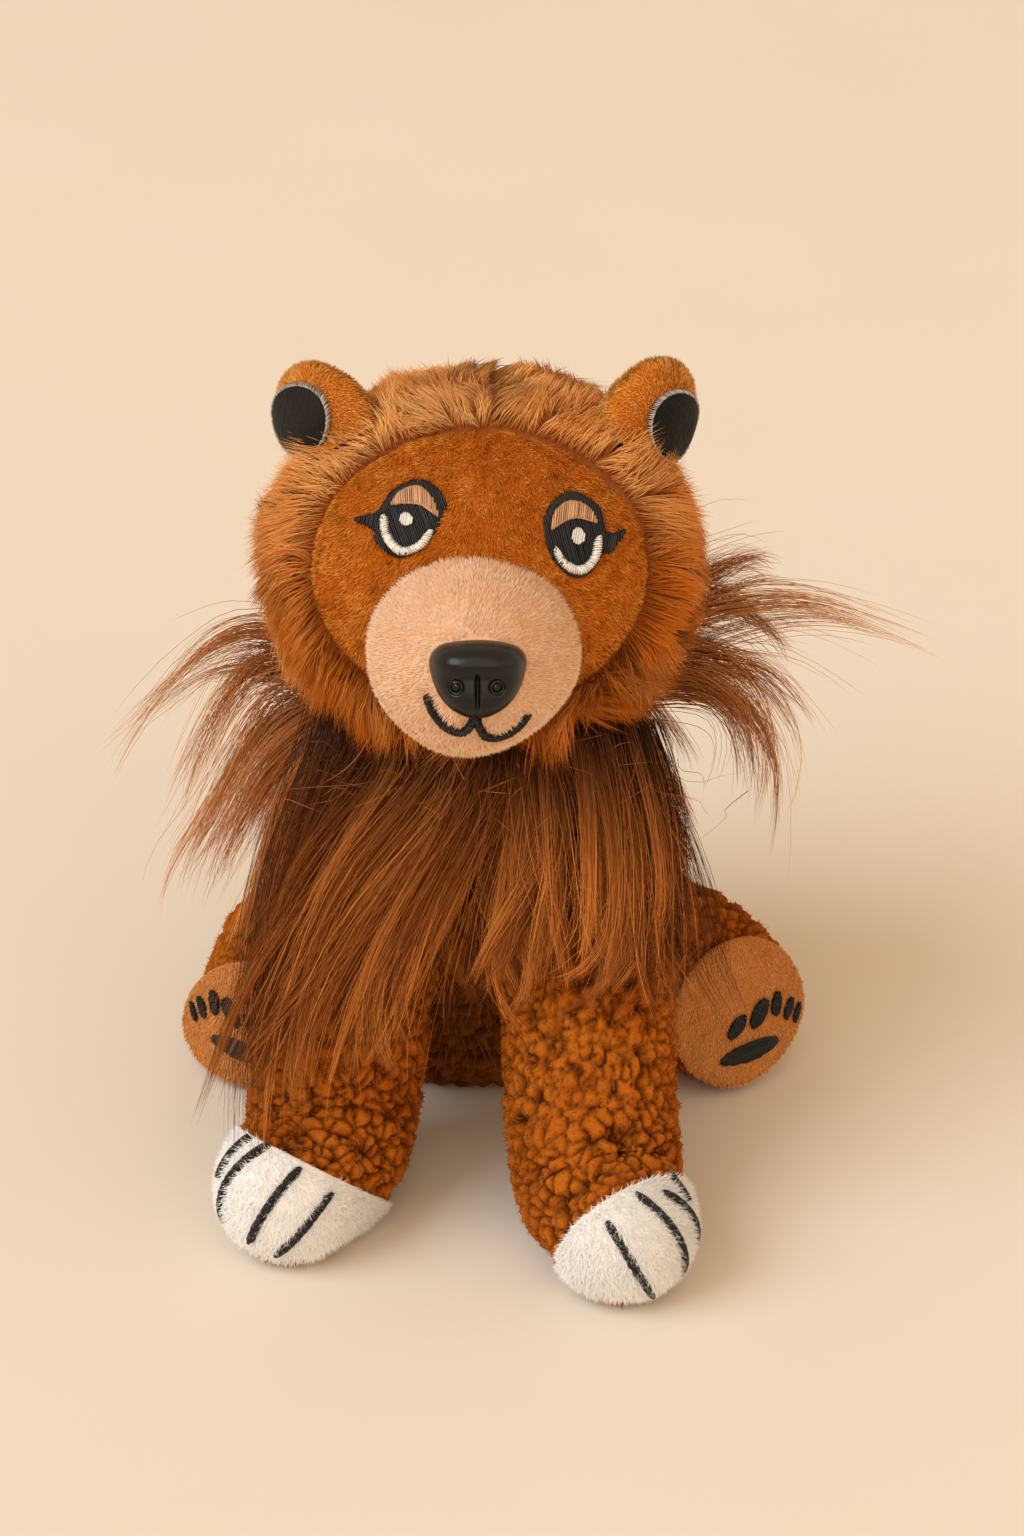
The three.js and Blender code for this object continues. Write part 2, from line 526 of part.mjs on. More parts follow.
function earGroup(side, name) {
  const sign = side === 'left' ? 1 : -1;
  const round = new THREE.Vector3(sign * Math.cos(rad(EAR_ANGLE)), 0, Math.sin(rad(EAR_ANGLE)));
  const at = round.multiply(headHalf);
  const out = at.clone().divide(headHalf).divide(headHalf).normalize();
  const hinge = at.addScaledVector(out, GAP);
  const turn = new THREE.Quaternion().setFromEuler(
    new THREE.Euler(0, rad(sign * EAR_LEAN), rad(EAR_YAW[side]), 'ZYX'),
  );
  const matrix = new THREE.Matrix4().compose(hinge, turn, new THREE.Vector3(1, 1, 1)).invert();
  const head = headSolid(GAP).transform(matrix.elements);
  const half = new THREE.Vector3(EAR_WIDTH / 2, EAR_THICKNESS / 2, EAR_HEIGHT / 2);
  const [along, rise] = EAR_SHIFT[side];
  const tip = new THREE.Vector3(along, 0, EAR_STAND + rise);
  const centre = tip.clone().setZ(tip.z - half.z);
  const lobe = (grow) => ellipsoid(half, grow, centre, SMALL_BALL);
  const layer = lobe(GAP + FELT).subtract(lobe(GAP));
  const discMiddle = new THREE.Vector3(along + sign * DISC_OUTSET[side], 0, tip.z - DISC_DROP[side]);
  const front = (shape) => prism(shape, FAR, discMiddle, X, Z);
  const disc = front(ellipse(DISC_WIDTH, DISC_HEIGHT));
  const inner = front(ellipse(DISC_WIDTH + 2 * GAP, DISC_HEIGHT + 2 * GAP));
  const outer = front(ellipse(DISC_WIDTH + 2 * EDGING_WIDTH, DISC_HEIGHT + 2 * EDGING_WIDTH));
  const shaped = (body) => carve(body, head, X, EAR_SWING);
  const made = group(
    hinge,
    piece(`${name}_ear`, shaped(lobe(0)), SHERPA),
    piece(`${name}_ear_disc`, shaped(layer.intersect(disc)), BLACK_FELT),
    piece(`${name}_ear_edging`, shaped(layer.intersect(outer).subtract(inner)), GREY_THREAD),
  );
  made.quaternion.copy(turn);
  return made;
}

// Hanging ribbon and key ring at the nape, about the ribbon's eyelet

const eyeletOuter = EYELET_RADIUS + RIBBON_THICKNESS;
const napeRing = Math.sqrt(1 - (RIBBON_DROP / headHalf.z) ** 2);
const eyeletOut = headHalf.y * napeRing + GAP + eyeletOuter + RIBBON_THICKNESS;
const eyelet = new THREE.Vector3(0, eyeletOut, -RIBBON_DROP);

function ribbonSolid() {
  const half = RIBBON_WIDTH / 2;
  const from = new THREE.Vector3(-half, 0, 0);
  const to = new THREE.Vector3(half, 0, 0);
  const hole = rod(EYELET_RADIUS, from.clone().multiplyScalar(2), to.clone().multiplyScalar(2));
  const band = rod(eyeletOuter, from, to).subtract(hole);
  const tab = new THREE.BoxGeometry(RIBBON_WIDTH, 2 * eyeletOuter, 2 * RIBBON_THICKNESS);
  tab.translate(0, -EYELET_RADIUS - eyeletOuter, 0);
  return band.add(solid(tab)).subtract(moved(headSolid(GAP), eyelet, -1));
}

function ringSolid() {
  const inner = RING_RADIUS - RING_WALL / 2;
  const outer = RING_RADIUS + RING_WALL / 2;
  const half = RING_DEPTH / 2;
  const section = [[inner, -half], [outer, -half], [outer, half], [inner, half], [inner, -half]];
  const geometry = new THREE.LatheGeometry(section.map(([r, y]) => new THREE.Vector2(r, y)), 32);
  return solid(geometry.translate(0, 0, -RING_RADIUS));
}

// Front legs, each about its shoulder

const shoulderHeight = TORSO_HEIGHT - SHOULDER_DROP;

function shoulderPlace(side) {
  const sign = side === 'left' ? 1 : -1;
  const ring = Math.sqrt(torsoRadius(shoulderHeight) ** 2 - SHOULDER_SPREAD ** 2);
  const chest = torsoLean(shoulderHeight) - torsoFlatness * ring;
  return new THREE.Vector3(sign * SHOULDER_SPREAD, chest + SHOULDER_INSET, shoulderHeight);
}

function frontLegStations(side) {
  const { ankle, toe } = FRONT_LEGS[side];
  const shoulder = shoulderPlace(side);
  const ankleAt = new THREE.Vector3(ankle[0], ankle[1], ANKLE_RADIUS - PAW_PRESS).sub(shoulder);
  const toeAt = new THREE.Vector3(toe[0], toe[1], TOE_RADIUS - PAW_PRESS).sub(shoulder);
  const kneeAt = ankleAt.clone().multiplyScalar(0.52);
  const bones = [[0, 0, 0, SHOULDER_RADIUS], [...kneeAt, KNEE_RADIUS], [...ankleAt, ANKLE_RADIUS]];
  return { shoulder, toeAt, stations: [...bones, [...toeAt, TOE_RADIUS]] };
}

function frontLegGroup(side) {
  const sign = side === 'left' ? 1 : -1;
  const { yaw, slope, setback } = FRONT_LEGS[side];
  const { shoulder, toeAt, stations } = frontLegStations(side);
  const local = (x, y, z) => new THREE.Vector3(x, y, z).sub(shoulder);
  const ground = halfSpace(local(0, 0, 0), Z);
  const inside = halfSpace(local(0, 0, FABRIC), Z);
  const cloth = limb(stations, X).intersect(ground);
  const hollow = limb(stations, X, -FABRIC).intersect(inside);
  const chest = moved(torsoClear, shoulder, -1);
  const swing = X.clone().negate();
  const forward = new THREE.Vector3(0, -1, 0).applyAxisAngle(Z, rad(yaw));
  const sideways = X.clone().applyAxisAngle(Z, rad(yaw)).multiplyScalar(sign);
  const lean = forward.clone().applyAxisAngle(X.clone().applyAxisAngle(Z, rad(yaw)), rad(-slope));
  const seam = toeAt.clone().addScaledVector(lean, -setback);
  const shell = cloth.subtract(hollow);
  const cap = shell.intersect(halfSpace(seam.clone().addScaledVector(lean, GAP), lean));
  const cover = carve(shell.subtract(halfSpace(seam, lean)), chest, swing, SHOULDER_SWING);
  const filling = limb(stations, X, -FABRIC - GAP).intersect(halfSpace(local(0, 0, FABRIC + GAP), Z));
  const raise = 1 + (GAP + CLAW_THREAD) / TOE_RADIUS;
  const claws = CLAW_LINES[side].map(([upper, lower], i) => {
    const points = [0, 0.33, 0.67, 1].map((share) => {
      const place = upper[0] + (lower[0] - upper[0]) * share;
      const height = rad(upper[1] + (lower[1] - upper[1]) * share);
      const reach = Math.sqrt(TOE_RADIUS ** 2 - place ** 2);
      const out = sideways.clone().multiplyScalar(place).addScaledVector(forward, reach * Math.cos(height));
      return out.addScaledVector(Z, reach * Math.sin(height)).multiplyScalar(raise).add(toeAt);
    });
    return piece(`${side}_claw_line_${i + 1}`, threadLine(points, CLAW_THREAD, 6), BLACK_THREAD);
  });
  return group(
    shoulder,
    piece(`${side}_front_leg_cover`, cover, SHERPA),
    piece(`${side}_front_leg_stuffing`, carve(filling, chest, swing, SHOULDER_SWING), FIBRE_FILL),
    piece(`${side}_toe_cap`, cap, WHITE_NAP),
    ...claws,
  );
}

// Rear legs, each about its hip

function rearLegGroup(side) {
  const sign = side === 'left' ? 1 : -1;
  const { sole, yaw } = REAR_LEGS[side];
  const hip = new THREE.Vector3(sign * HIP_SPREAD, HIP_SETBACK, HIP_HEIGHT);
  const local = (x, y, z) => new THREE.Vector3(x, y, z).sub(hip);
  const soleAt = local(sole[0], sole[1], SOLE_RADIUS);
  const shinAt = local((hip.x + sole[0]) / 2, (hip.y + sole[1]) / 2, SHIN_RADIUS - REAR_PRESS);
  const stations = [[0, 0, 0, THIGH_RADIUS], [...shinAt, SHIN_RADIUS], [...soleAt, SOLE_RADIUS]];
  const forward = new THREE.Vector3(0, -1, 0).applyAxisAngle(Z, rad(yaw));
  const across = X.clone().applyAxisAngle(Z, rad(yaw));
  const facing = forward.clone().applyAxisAngle(across, rad(-SOLE_PITCH));
  const up = facing.clone().cross(across);
  const ahead = (distance) => halfSpace(soleAt.clone().addScaledVector(facing, distance), facing);
  const ground = halfSpace(local(0, 0, 0), Z);
  const belly = moved(torsoClear, hip, -1);
  const swing = Z.clone().multiplyScalar(sign);
  const cloth = limb(stations, Z).intersect(ground);
  const hollow = limb(stations, Z, -FABRIC).intersect(halfSpace(local(0, 0, FABRIC), Z));
  const cover = carve(cloth.subtract(hollow).subtract(ahead(0)), belly, swing, HIP_SWING);
  const fibre = limb(stations, Z, -FABRIC - GAP).intersect(halfSpace(local(0, 0, FABRIC + GAP), Z));
  const filling = fibre.subtract(ahead(0));
  const pad = carve(cloth.intersect(ahead(GAP)).subtract(ahead(GAP + FABRIC)), belly, swing, HIP_SWING);
  const face = soleAt.clone().addScaledVector(facing, 2 * GAP + FABRIC);
  const print = ([out, rise, width, height, turn]) =>
    prism(ellipse(2 * width, 2 * height, sign * out, rise, sign * turn), THREAD, face, across, up);
  return group(
    hip,
    piece(`${side}_rear_leg_cover`, cover, SHERPA),
    piece(`${side}_rear_leg_stuffing`, carve(filling, belly, swing, HIP_SWING), FIBRE_FILL),
    piece(`${side}_sole`, pad, SOLE_NAP),
    piece(`${side}_heel_print`, print(HEEL_PRINT), BLACK_THREAD),
    ...TOE_PRINTS.map((toe, i) => piece(`${side}_toe_print_${i + 1}`, print(toe), BLACK_THREAD)),
  );
}

// Mane, about the neck ball's centre

function locksSolid(locks, side, grow = 0) {
  const lock = (stations, across) => limb(stations, across, grow, LOCK_SIDES, LOCK_RINGS, LOCK_CAP);
  const yoke = lock(locks.map(([root]) => root), Z);
  return locks.reduce((body, stations) => body.add(lock(stations, side)), yoke);
}

function collarSolid(grow) {
  const section = [];
  for (let i = 0; i <= 8; i += 1) {
    const angle = (2 * Math.PI * i) / 8;
    const reach = COLLAR_THICKNESS / 2 + grow;
    section.push(new THREE.Vector2(COLLAR_RADIUS + reach * Math.cos(angle), reach * Math.sin(angle)));
  }
  const geometry = new THREE.LatheGeometry(section, BALL[0]).rotateX(Math.PI / 2).scale(1, torsoFlatness, 1);
  return solid(geometry.translate(0, 0, COLLAR_RISE));
}

function manePieces() {
  const legs = ['right', 'left'].map((side) => {
    const { shoulder, stations } = frontLegStations(side);
    return moved(limb(stations, X, GAP), shoulder.clone().sub(neck));
  });
  const head = moved(headSolid(GAP).add(muzzleSolid(GAP)), headFromNeck);
  const taken = [moved(torsoClear, neck, -1), head, ...legs];
  const trim = (body) => taken.reduce((left, neighbour) => left.subtract(neighbour), body);
  const cape = (grow) => locksSolid(BACK_LOCKS, X, grow).add(collarSolid(grow));
  const besideCape = (body) => mainBody(trim(body).subtract(cape(GAP)));
  return [
    piece('mane_cape', mainBody(trim(cape(0))), MANE_HAIR),
    piece('mane_bib', besideCape(locksSolid(BIB_LOCKS, X)), MANE_HAIR),
    piece('mane_right_tuft', besideCape(locksSolid(RIGHT_LOCKS, Y)), MANE_HAIR),
    piece('mane_left_tuft', besideCape(locksSolid(LEFT_LOCKS, Y)), MANE_HAIR),
  ];
}

// The bear

const headGroup = group(
  headFromNeck,
  ...headPieces(),
  ...eyePieces('right'),
  ...eyePieces('left'),
  earGroup('right', 'right'),
  earGroup('left', 'left'),
  group(eyelet, piece('hanging_ribbon', ribbonSolid(), RIBBON), piece('key_ring', ringSolid(), STEEL)),
);
const neckGroup = group(neck, piece('neck_stuffing', neckSolid(0), FIBRE_FILL), headGroup);

export default group(
  new THREE.Vector3(),
  ...torsoPieces(),
  neckGroup,
  group(neck, ...manePieces()),
  frontLegGroup('right'),
  frontLegGroup('left'),
  rearLegGroup('right'),
  rearLegGroup('left'),
);
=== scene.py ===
"""Seated plush bear: its fur, sherpa, felt, stitching, nose and key ring, and the studio it sits in.

Millimetres throughout; put() turns them to metres. +X is the bear's left, it faces -Y, and +Z is up.
"""
import itertools
import math

import bpy
import numpy as np
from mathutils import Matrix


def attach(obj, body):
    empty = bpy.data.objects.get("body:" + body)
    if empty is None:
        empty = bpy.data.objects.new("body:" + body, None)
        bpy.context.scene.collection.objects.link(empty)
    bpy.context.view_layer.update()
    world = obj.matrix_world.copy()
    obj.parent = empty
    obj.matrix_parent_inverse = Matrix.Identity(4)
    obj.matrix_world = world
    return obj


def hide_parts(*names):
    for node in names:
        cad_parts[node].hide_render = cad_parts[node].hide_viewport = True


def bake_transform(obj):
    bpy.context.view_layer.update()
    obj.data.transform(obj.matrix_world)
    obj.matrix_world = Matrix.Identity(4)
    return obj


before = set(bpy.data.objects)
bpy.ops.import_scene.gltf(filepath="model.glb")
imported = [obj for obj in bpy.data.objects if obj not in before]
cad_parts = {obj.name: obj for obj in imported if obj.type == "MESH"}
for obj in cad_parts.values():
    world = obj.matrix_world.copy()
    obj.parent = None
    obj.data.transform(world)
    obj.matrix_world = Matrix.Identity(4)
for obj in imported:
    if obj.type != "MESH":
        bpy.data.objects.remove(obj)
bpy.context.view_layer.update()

MM = 0.001
X, Y, Z = np.eye(3)

# The frame's own sizes, repeated from the CAD
SIDES = {"right": -1, "left": 1}
NECK_AT = np.array([0, -13, 60.5])
HEAD_AT = np.array([1.1, -18, 93])
HEAD_HALF = np.array([30.3, 27.5, 25.5])
FACE_HALF = HEAD_HALF - 0.8
FACE_TILT = math.radians(20)
FACE_OUT = np.array([0, -math.cos(FACE_TILT), math.sin(FACE_TILT)])
FACE_UP = np.array([0, math.sin(FACE_TILT), math.cos(FACE_TILT)])
SEAM_ACROSS = 1.05
FACE_SEAM = 15.87
MUZZLE_AT = np.array([0.3, -42, 90])
MUZZLE_HALF = np.array([14.3, 16.6, 14])
NOSE_AT = np.array([1.0, -57.75, 94.5])
NOSE_OUT = np.array([0, -0.928, 0.373])
NOSE_UP = np.array([0, 0.373, 0.928])
EAR_AT = {"right": np.array([-20.93, -18, 110.98]), "left": np.array([23.13, -18, 110.98])}
EAR_YAW = {"right": -32, "left": 40}
EAR_LEAN = 40
EAR_HALF = np.array([8, 4.3, 10])
EYELET_AT = np.array([1.1, 13.56, 90])
RING_AT = np.array([1.1, 13.56, 79.5])
SHOULDER = {"right": np.array([-15.2, -26.15, 51]), "left": np.array([15.2, -26.15, 51])}
EAR_MIDDLE = {"right": np.array([2, 0, 0.1]), "left": np.array([0, 0, 1.6])}
DISC_AT = {"right": (1.0, 3.9), "left": (1.8, 4.0)}
DISC_HALF = (6.0, 4.9)
ANKLE = {"right": np.array([-21.5, -47.5, 11.8]), "left": np.array([17.9, -57, 11.8])}
TOE = {"right": np.array([-26.5, -57.8, 9.7]), "left": np.array([21.2, -67, 9.7])}
# Each toe cap's seam: yaw and slope in degrees, and how far behind the toe's middle it lies
TOE_SEAM = {"right": (40, 46, 3.8), "left": (33, 22, -0.1)}
TORSO_TOP = 63
BELLY_AT = 30
SEAT_RADIUS = 20
BELLY_RADIUS = 31
TOP_RADIUS = 15
TORSO_DEPTH = 0.871
TORSO_LEAN = 13
NECK_RADIUS = 8.4
POST_RADIUS = 6.4
LEG_RADII = (13.8, 12.5, 12.3, 10.2)
REAR_RADII = (13.5, 13.8, 10.2)
SHIN_HEIGHT = 13.4
RING_RADIUS = 10.5
HIP = {"right": np.array([-21.5, 2, 13.4]), "left": np.array([21.5, 2, 13.4])}
SOLE = {"right": np.array([-36, -15.5, 10.2]), "left": np.array([42, -15.8, 10.2])}
SOLE_YAW = 26
SOLE_TILT = 18
# Degrees that sample the range of each joint, for keeping its piece clear
EAR_FLOPS = (0, 9, 18, -9, -18)
LEG_RAISES = (0, -4, 7, 14, 20)
HIP_SPREADS = (0, -8, -4, 5, 10, 15)

# The length of the velboa on face and ears
NAP = 0.9


# Numbers and curves


def unit(v):
    """Each vector divided by its own length."""
    return v / np.maximum(np.linalg.norm(v, axis=-1, keepdims=True), 1e-9)


def turn(axis, degrees):
    """Rodrigues' formula: the matrix of a turn about an axis."""
    x, y, z = axis
    k = np.array([[0, -z, y], [z, 0, -x], [-y, x, 0]])
    angle = math.radians(degrees)
    return np.eye(3) + math.sin(angle) * k + (1 - math.cos(angle)) * k @ k


def circle(count):
    """Angles evenly round a circle."""
    return np.linspace(0, 2 * math.pi, count, endpoint=False)


def cos_sin(degrees):
    """The cosine and sine of an angle in degrees."""
    return math.cos(math.radians(degrees)), math.sin(math.radians(degrees))


def squarer(wave, power):
    """A sine or cosine drawn towards a square wave: its sign times a power of its size."""
    return np.sign(wave) * np.abs(wave) ** power


def ease(value, low, high):
    """Smoothstep: 0 below low, 1 above high, a cubic between."""
    t = np.clip((value - low) / (high - low), 0, 1)
    return t * t * (3 - 2 * t)


def spline(points, at, closed=False):
    """Catmull-Rom curve through points: at counts points from 0, and the curve may close on itself."""
    p = np.asarray(points, float)
    n = len(p)
    ends = (p[-1:], p[:2]) if closed else (2 * p[:1] - p[1:2], 2 * p[-1:] - p[-2:-1])
    p = np.concatenate([ends[0], p, ends[1]])
    i = np.clip(np.floor(at).astype(int), 0, n - 1 if closed else n - 2)
    f = (at - i).reshape(-1, *[1] * (p.ndim - 1))
    a, b, c, d = p[i], p[i + 1], p[i + 2], p[i + 3]
    return 0.5 * (2 * b + (c - a) * f + (2 * a - 5 * b + 4 * c - d) * f**2 + (3 * b - a - 3 * c + d) * f**3)


def outline(points, count=96):
    """A smooth closed outline through its points."""
    return spline(points, np.arange(count) / count * len(points), closed=True)


def even(path, pitch):
    """A line's points set a pitch apart, by its length so far."""
    length = np.concatenate([[0], np.cumsum(np.linalg.norm(np.diff(path, axis=0), axis=1))])
    at = np.linspace(0, length[-1], max(3, round(length[-1] / pitch) + 1))
    return np.stack([np.interp(at, length, path[:, k]) for k in range(path.shape[1])], 1)


def chance(cell, seed):
    """A fixed random number from 0 to 1 for each whole-number cell, by mixing its three numbers."""
    h = cell[..., 0] * 73856093 ^ cell[..., 1] * 19349663 ^ cell[..., 2] * 83492791 ^ seed * 40503
    h = (h ^ h >> 15) * 739982445 & 0xFFFFFFFF
    h = (h ^ h >> 13) * 695872825 & 0xFFFFFFFF
    return (h ^ h >> 16) / 4294967296


def drift(points, size, seed):
    """Smooth noise from -1 to 1: a random value at each corner of cubes of that size, blended between."""
    base = np.floor(points / size).astype(np.int64)
    f = points / size - base
    f = f * f * (3 - 2 * f)
    total = 0
    for corner in itertools.product((0, 1), repeat=3):
        share = np.prod(np.where(corner, f, 1 - f), axis=-1)
        total = total + share * chance(base + np.array(corner), seed)
    return 2 * total - 1


def drifts(points, size, seed):
    """Three smooth noises as a vector."""
    return np.stack([drift(points, size, seed + k) for k in range(3)], -1)


def tufts(points, size, seed):
    """Worley cells, one random centre in each cube of that size.

    Gives each point's distance to the nearest centre and to the next one, and the nearest centre.
    """
    base = np.floor(points / size).astype(np.int64)
    near = np.full(len(points), 1e9)
    following = near.copy()
    centre = np.zeros_like(points)
    for step in itertools.product((-1, 0, 1), repeat=3):
        cell = base + np.array(step)
        place = (cell + np.stack([chance(cell, seed + k) for k in range(3)], -1)) * size
        away = np.linalg.norm(points - place, axis=1)
        closer = away < near
        following = np.where(closer, near, np.minimum(following, away))
        centre = np.where(closer[:, None], place, centre)
        near = np.minimum(near, away)
    return near, following, centre


def mottled(place, base, grain, seed, *waves):
    """Shades from 0 to 1 at places: a base, smooth noises by amount, size and seed, and a random grain."""
    shade = base
    for amount, size, mix in waves:
        shade = shade + amount * drift(place, size, mix)
    return np.clip(shade + grain * np.random.default_rng(seed).normal(size=len(place)), 0, 1)


def level(points, centre, half):
    """How far out points lie in an ellipsoid: 0 at its centre and 1 on its skin."""
    return np.linalg.norm((points - centre) / half, axis=1)


def ball_normal(points, centre, half):
    """An ellipsoid's normals: offsets from its centre, each over the squares of its half sizes."""
    return unit((points - centre) / half**2)


def along_surface(ways, normal):
    """Ways with their part along the normals taken off."""
    return ways - (ways * normal).sum(1, keepdims=True) * normal


def above_floor(points, gap):
    """Points raised to a gap above the floor where they lie lower."""
    points[..., 2] = np.maximum(points[..., 2], gap)
    return points


def inside(points, edge):
    """Whether flat points lie in a closed outline: an odd number of its sides pass to the right."""
    a, b = edge[None], np.roll(edge, -1, 0)[None]
    x, y = points[:, None, 0], points[:, None, 1]
    spans = (a[..., 1] > y) != (b[..., 1] > y)
    slope = np.where(spans, b[..., 1] - a[..., 1], 1)
    crossing = a[..., 0] + (y - a[..., 1]) * (b[..., 0] - a[..., 0]) / slope
    return (spans & (x < crossing)).sum(1) % 2 == 1


# Shells: points, faces and values on the points


def outward(rings):
    """Normals of rings of points: the way round crossed with the way along, pointing off the middle."""
    round_it = np.roll(rings, -1, 1) - np.roll(rings, 1, 1)
    normal = unit(np.cross(round_it, np.gradient(rings, axis=0)))
    off = rings - rings.mean(axis=(0, 1))
    return normal if (normal * off).sum() > 0 else -normal


def closed(rings, **values):
    """Rings of points as a shell, with one point in the middle of the first ring and of the last."""
    count, columns, _ = rings.shape
    points = np.concatenate([rings[0].mean(0)[None], rings.reshape(-1, 3), rings[-1].mean(0)[None]])
    row = np.arange(count - 1)[:, None] * columns + 1
    this = np.arange(columns)
    following = (this + 1) % columns
    quads = [row + this, row + following, row + columns + following, row + columns + this]
    last = count * columns + 1
    cap = np.stack([0 * this, following + 1, this + 1], -1)
    foot = np.stack([0 * this + last, last - columns + this, last - columns + following], -1)
    faces = [np.stack(quads, -1).reshape(-1, 4), np.concatenate([cap, foot])]
    wide = {key: np.concatenate([[v[0].mean()], v.ravel(), [v[-1].mean()]]) for key, v in values.items()}
    return points, faces, wide


def fibres(paths, widths, tint, seed=1, face=None):
    """Closed three-sided fibres along paths of shape (fibres, steps, 3).

    Every step but the last has a triangle of corners a width off the path and square to it; the last
    step is the tip, and a triangle closes the root. The value along goes from 0 at the root to 1. With a
    face, a way for each fibre or for each of its steps, one flat side looks that way and lit holds
    normals turned to it, because combed pile takes the light as one soft surface.
    """
    count, steps, _ = paths.shape
    widths = np.broadcast_to(widths, (count, steps))
    along = unit(np.gradient(paths, axis=1))
    aside = np.random.default_rng(seed).normal(size=(count, 1, 3)) if face is None else face
    aside = np.broadcast_to(aside, paths.shape)
    across = unit(np.cross(along, aside))
    third = np.cross(along, across)
    angle = math.pi / 2 + np.arange(3) * 2 * math.pi / 3
    spoke = np.cos(angle)[:, None] * across[:, :, None] + np.sin(angle)[:, None] * third[:, :, None]
    rings = paths[:, :, None] + widths[:, :, None, None] * spoke
    points = np.concatenate([rings[:, :-1].reshape(count, -1, 3), paths[:, -1:]], 1)
    size = points.shape[1]
    corner = np.arange(3)
    following = (corner + 1) % 3
    row = np.arange(steps - 2)[:, None] * 3
    quads = np.stack([row + corner, row + following, row + 3 + following, row + 3 + corner], -1)
    top = size - 4
    tip = np.stack([top + corner, top + following, 0 * corner + size - 1], -1)
    triangles = np.concatenate([tip, [[0, 2, 1]]])
    first = np.arange(count)[:, None, None] * size
    faces = [(quads.reshape(1, -1, 4) + first).reshape(-1, 4), (triangles[None] + first).reshape(-1, 3)]
    rise = np.append(np.repeat(np.arange(steps - 1), 3), steps - 1) / (steps - 1)
    values = {"along": np.tile(rise, count), "tint": np.repeat(tint, size)}
    if face is not None:
        lit = unit(aside[:, :-1, None] + 0.45 * spoke[:, :-1])
        lit = np.concatenate([lit.reshape(count, -1, 3), aside[:, -1:]], 1)
        values["lit"] = lit.reshape(-1, 3)
    return points.reshape(-1, 3), faces, values


def joined(*shells):
    """Several shells as one, each one's face numbers moved past the points before it."""
    start = np.cumsum([0] + [len(points) for points, _, _ in shells])
    faces = [rows + start[i] for i, (_, groups, _) in enumerate(shells) for rows in groups]
    keys = shells[0][2]
    values = {key: np.concatenate([shell[2][key] for shell in shells]) for key in keys}
    return np.concatenate([points for points, _, _ in shells]), faces, values


def scattered(shell, count, seed, value=None):
    """Places spread evenly over a shell: quads drawn by their area, then a random spot in each.

    Gives places and normals, or places, normals and a value of the shell there.
    """
    points, faces, values = shell
    a, b, c, d = (points[faces[0][:, k]] for k in range(4))
    normal = np.cross(c - a, d - b)
    area = np.linalg.norm(normal, axis=1)
    dice = np.random.default_rng(seed)
    pick = dice.choice(len(area), count, p=area / area.sum())
    s, t = dice.random((2, count, 1))
    place = (a[pick] * (1 - s) + b[pick] * s) * (1 - t) + (d[pick] * (1 - s) + c[pick] * s) * t
    sign = np.sign((normal * (a - points.mean(0))).sum())
    if value is None:
        return place, unit(normal[pick]) * sign
    return place, unit(normal[pick]) * sign, values[value][faces[0][pick, 0]]


def put(name, shell, material, body, covers=(), bend=None):
    """A shell as a piece: metres, faces turned outwards by the sign of its volume, riding on a body.

    With a bend, the piece rides on no body: its place is baked into its points, and the bend's body
    and points are not used.
    """
    points, faces, values = shell
    volume = 0
    for rows in faces:
        a, b, c = (points[rows[:, k]] - points.mean(0) for k in range(3))
        volume += (a * np.cross(b, c)).sum()
        if rows.shape[1] == 4:
            volume += (a * np.cross(c, points[rows[:, 3]] - points.mean(0))).sum()
    if volume < 0:
        faces = [rows[:, ::-1] for rows in faces]
    sizes = np.concatenate([np.full(len(rows), rows.shape[1]) for rows in faces])
    corners = np.concatenate([rows.ravel() for rows in faces])
    mesh = bpy.data.meshes.new(name)
    mesh.vertices.add(len(points))
    mesh.vertices.foreach_set("co", (points * MM).astype(np.float32).ravel())
    mesh.loops.add(len(corners))
    mesh.loops.foreach_set("vertex_index", corners.astype(np.int32))
    mesh.polygons.add(len(sizes))
    mesh.polygons.foreach_set("loop_start", (np.cumsum(sizes) - sizes).astype(np.int32))
    mesh.polygons.foreach_set("use_smooth", np.ones(len(sizes), bool))
    for key, value in values.items():
        if key != "lit":
            mesh.attributes.new(key, "FLOAT", "POINT").data.foreach_set("value", value.astype(np.float32))
    mesh.update(calc_edges=True)
    if "lit" in values:
        mesh.normals_split_custom_set_from_vertices(values["lit"].tolist())
    mesh.materials.append(material)
    made = bpy.data.objects.new(name, mesh)
    bpy.context.scene.collection.objects.link(made)
    if body is None:
        return
    if bend is None:
        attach(made, body)
    else:
        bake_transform(made)
    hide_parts(*covers)


# Finishes


def lin(colour):
    """An sRGB hex colour as the linear colour that a socket takes."""
    c = np.array([int(colour[k : k + 2], 16) for k in (1, 3, 5)]) / 255
    return (*np.where(c <= 0.04045, c / 12.92, ((c + 0.055) / 1.055) ** 2.4), 1)


def add(tree, kind, inputs=(), out=0, **settings):
    """A node with its settings; inputs are values or outputs to link, by socket name or number."""
    node = tree.nodes.new("ShaderNode" + kind)
    for key, value in settings.items():
        setattr(node, key, value)
    for key, value in dict(inputs).items():
        if isinstance(value, bpy.types.NodeSocket):
            tree.links.new(value, node.inputs[key])
        else:
            node.inputs[key].default_value = value
    return node.outputs[out]


def finish(name, **sockets):
    """A new material: its node tree, and its shader with the even values set on its own sockets."""
    made = bpy.data.materials.new(name)
    made.use_nodes = True
    shader = made.node_tree.nodes["Principled BSDF"]
    for key, value in sockets.items():
        shader.inputs[key.replace("_", " ")].default_value = value
    return made, made.node_tree, shader


def wire(shader, **outputs):
    """Outputs linked to a shader's sockets, by name."""
    for key, output in outputs.items():
        shader.id_data.links.new(output, shader.inputs[key.replace("_", " ")])


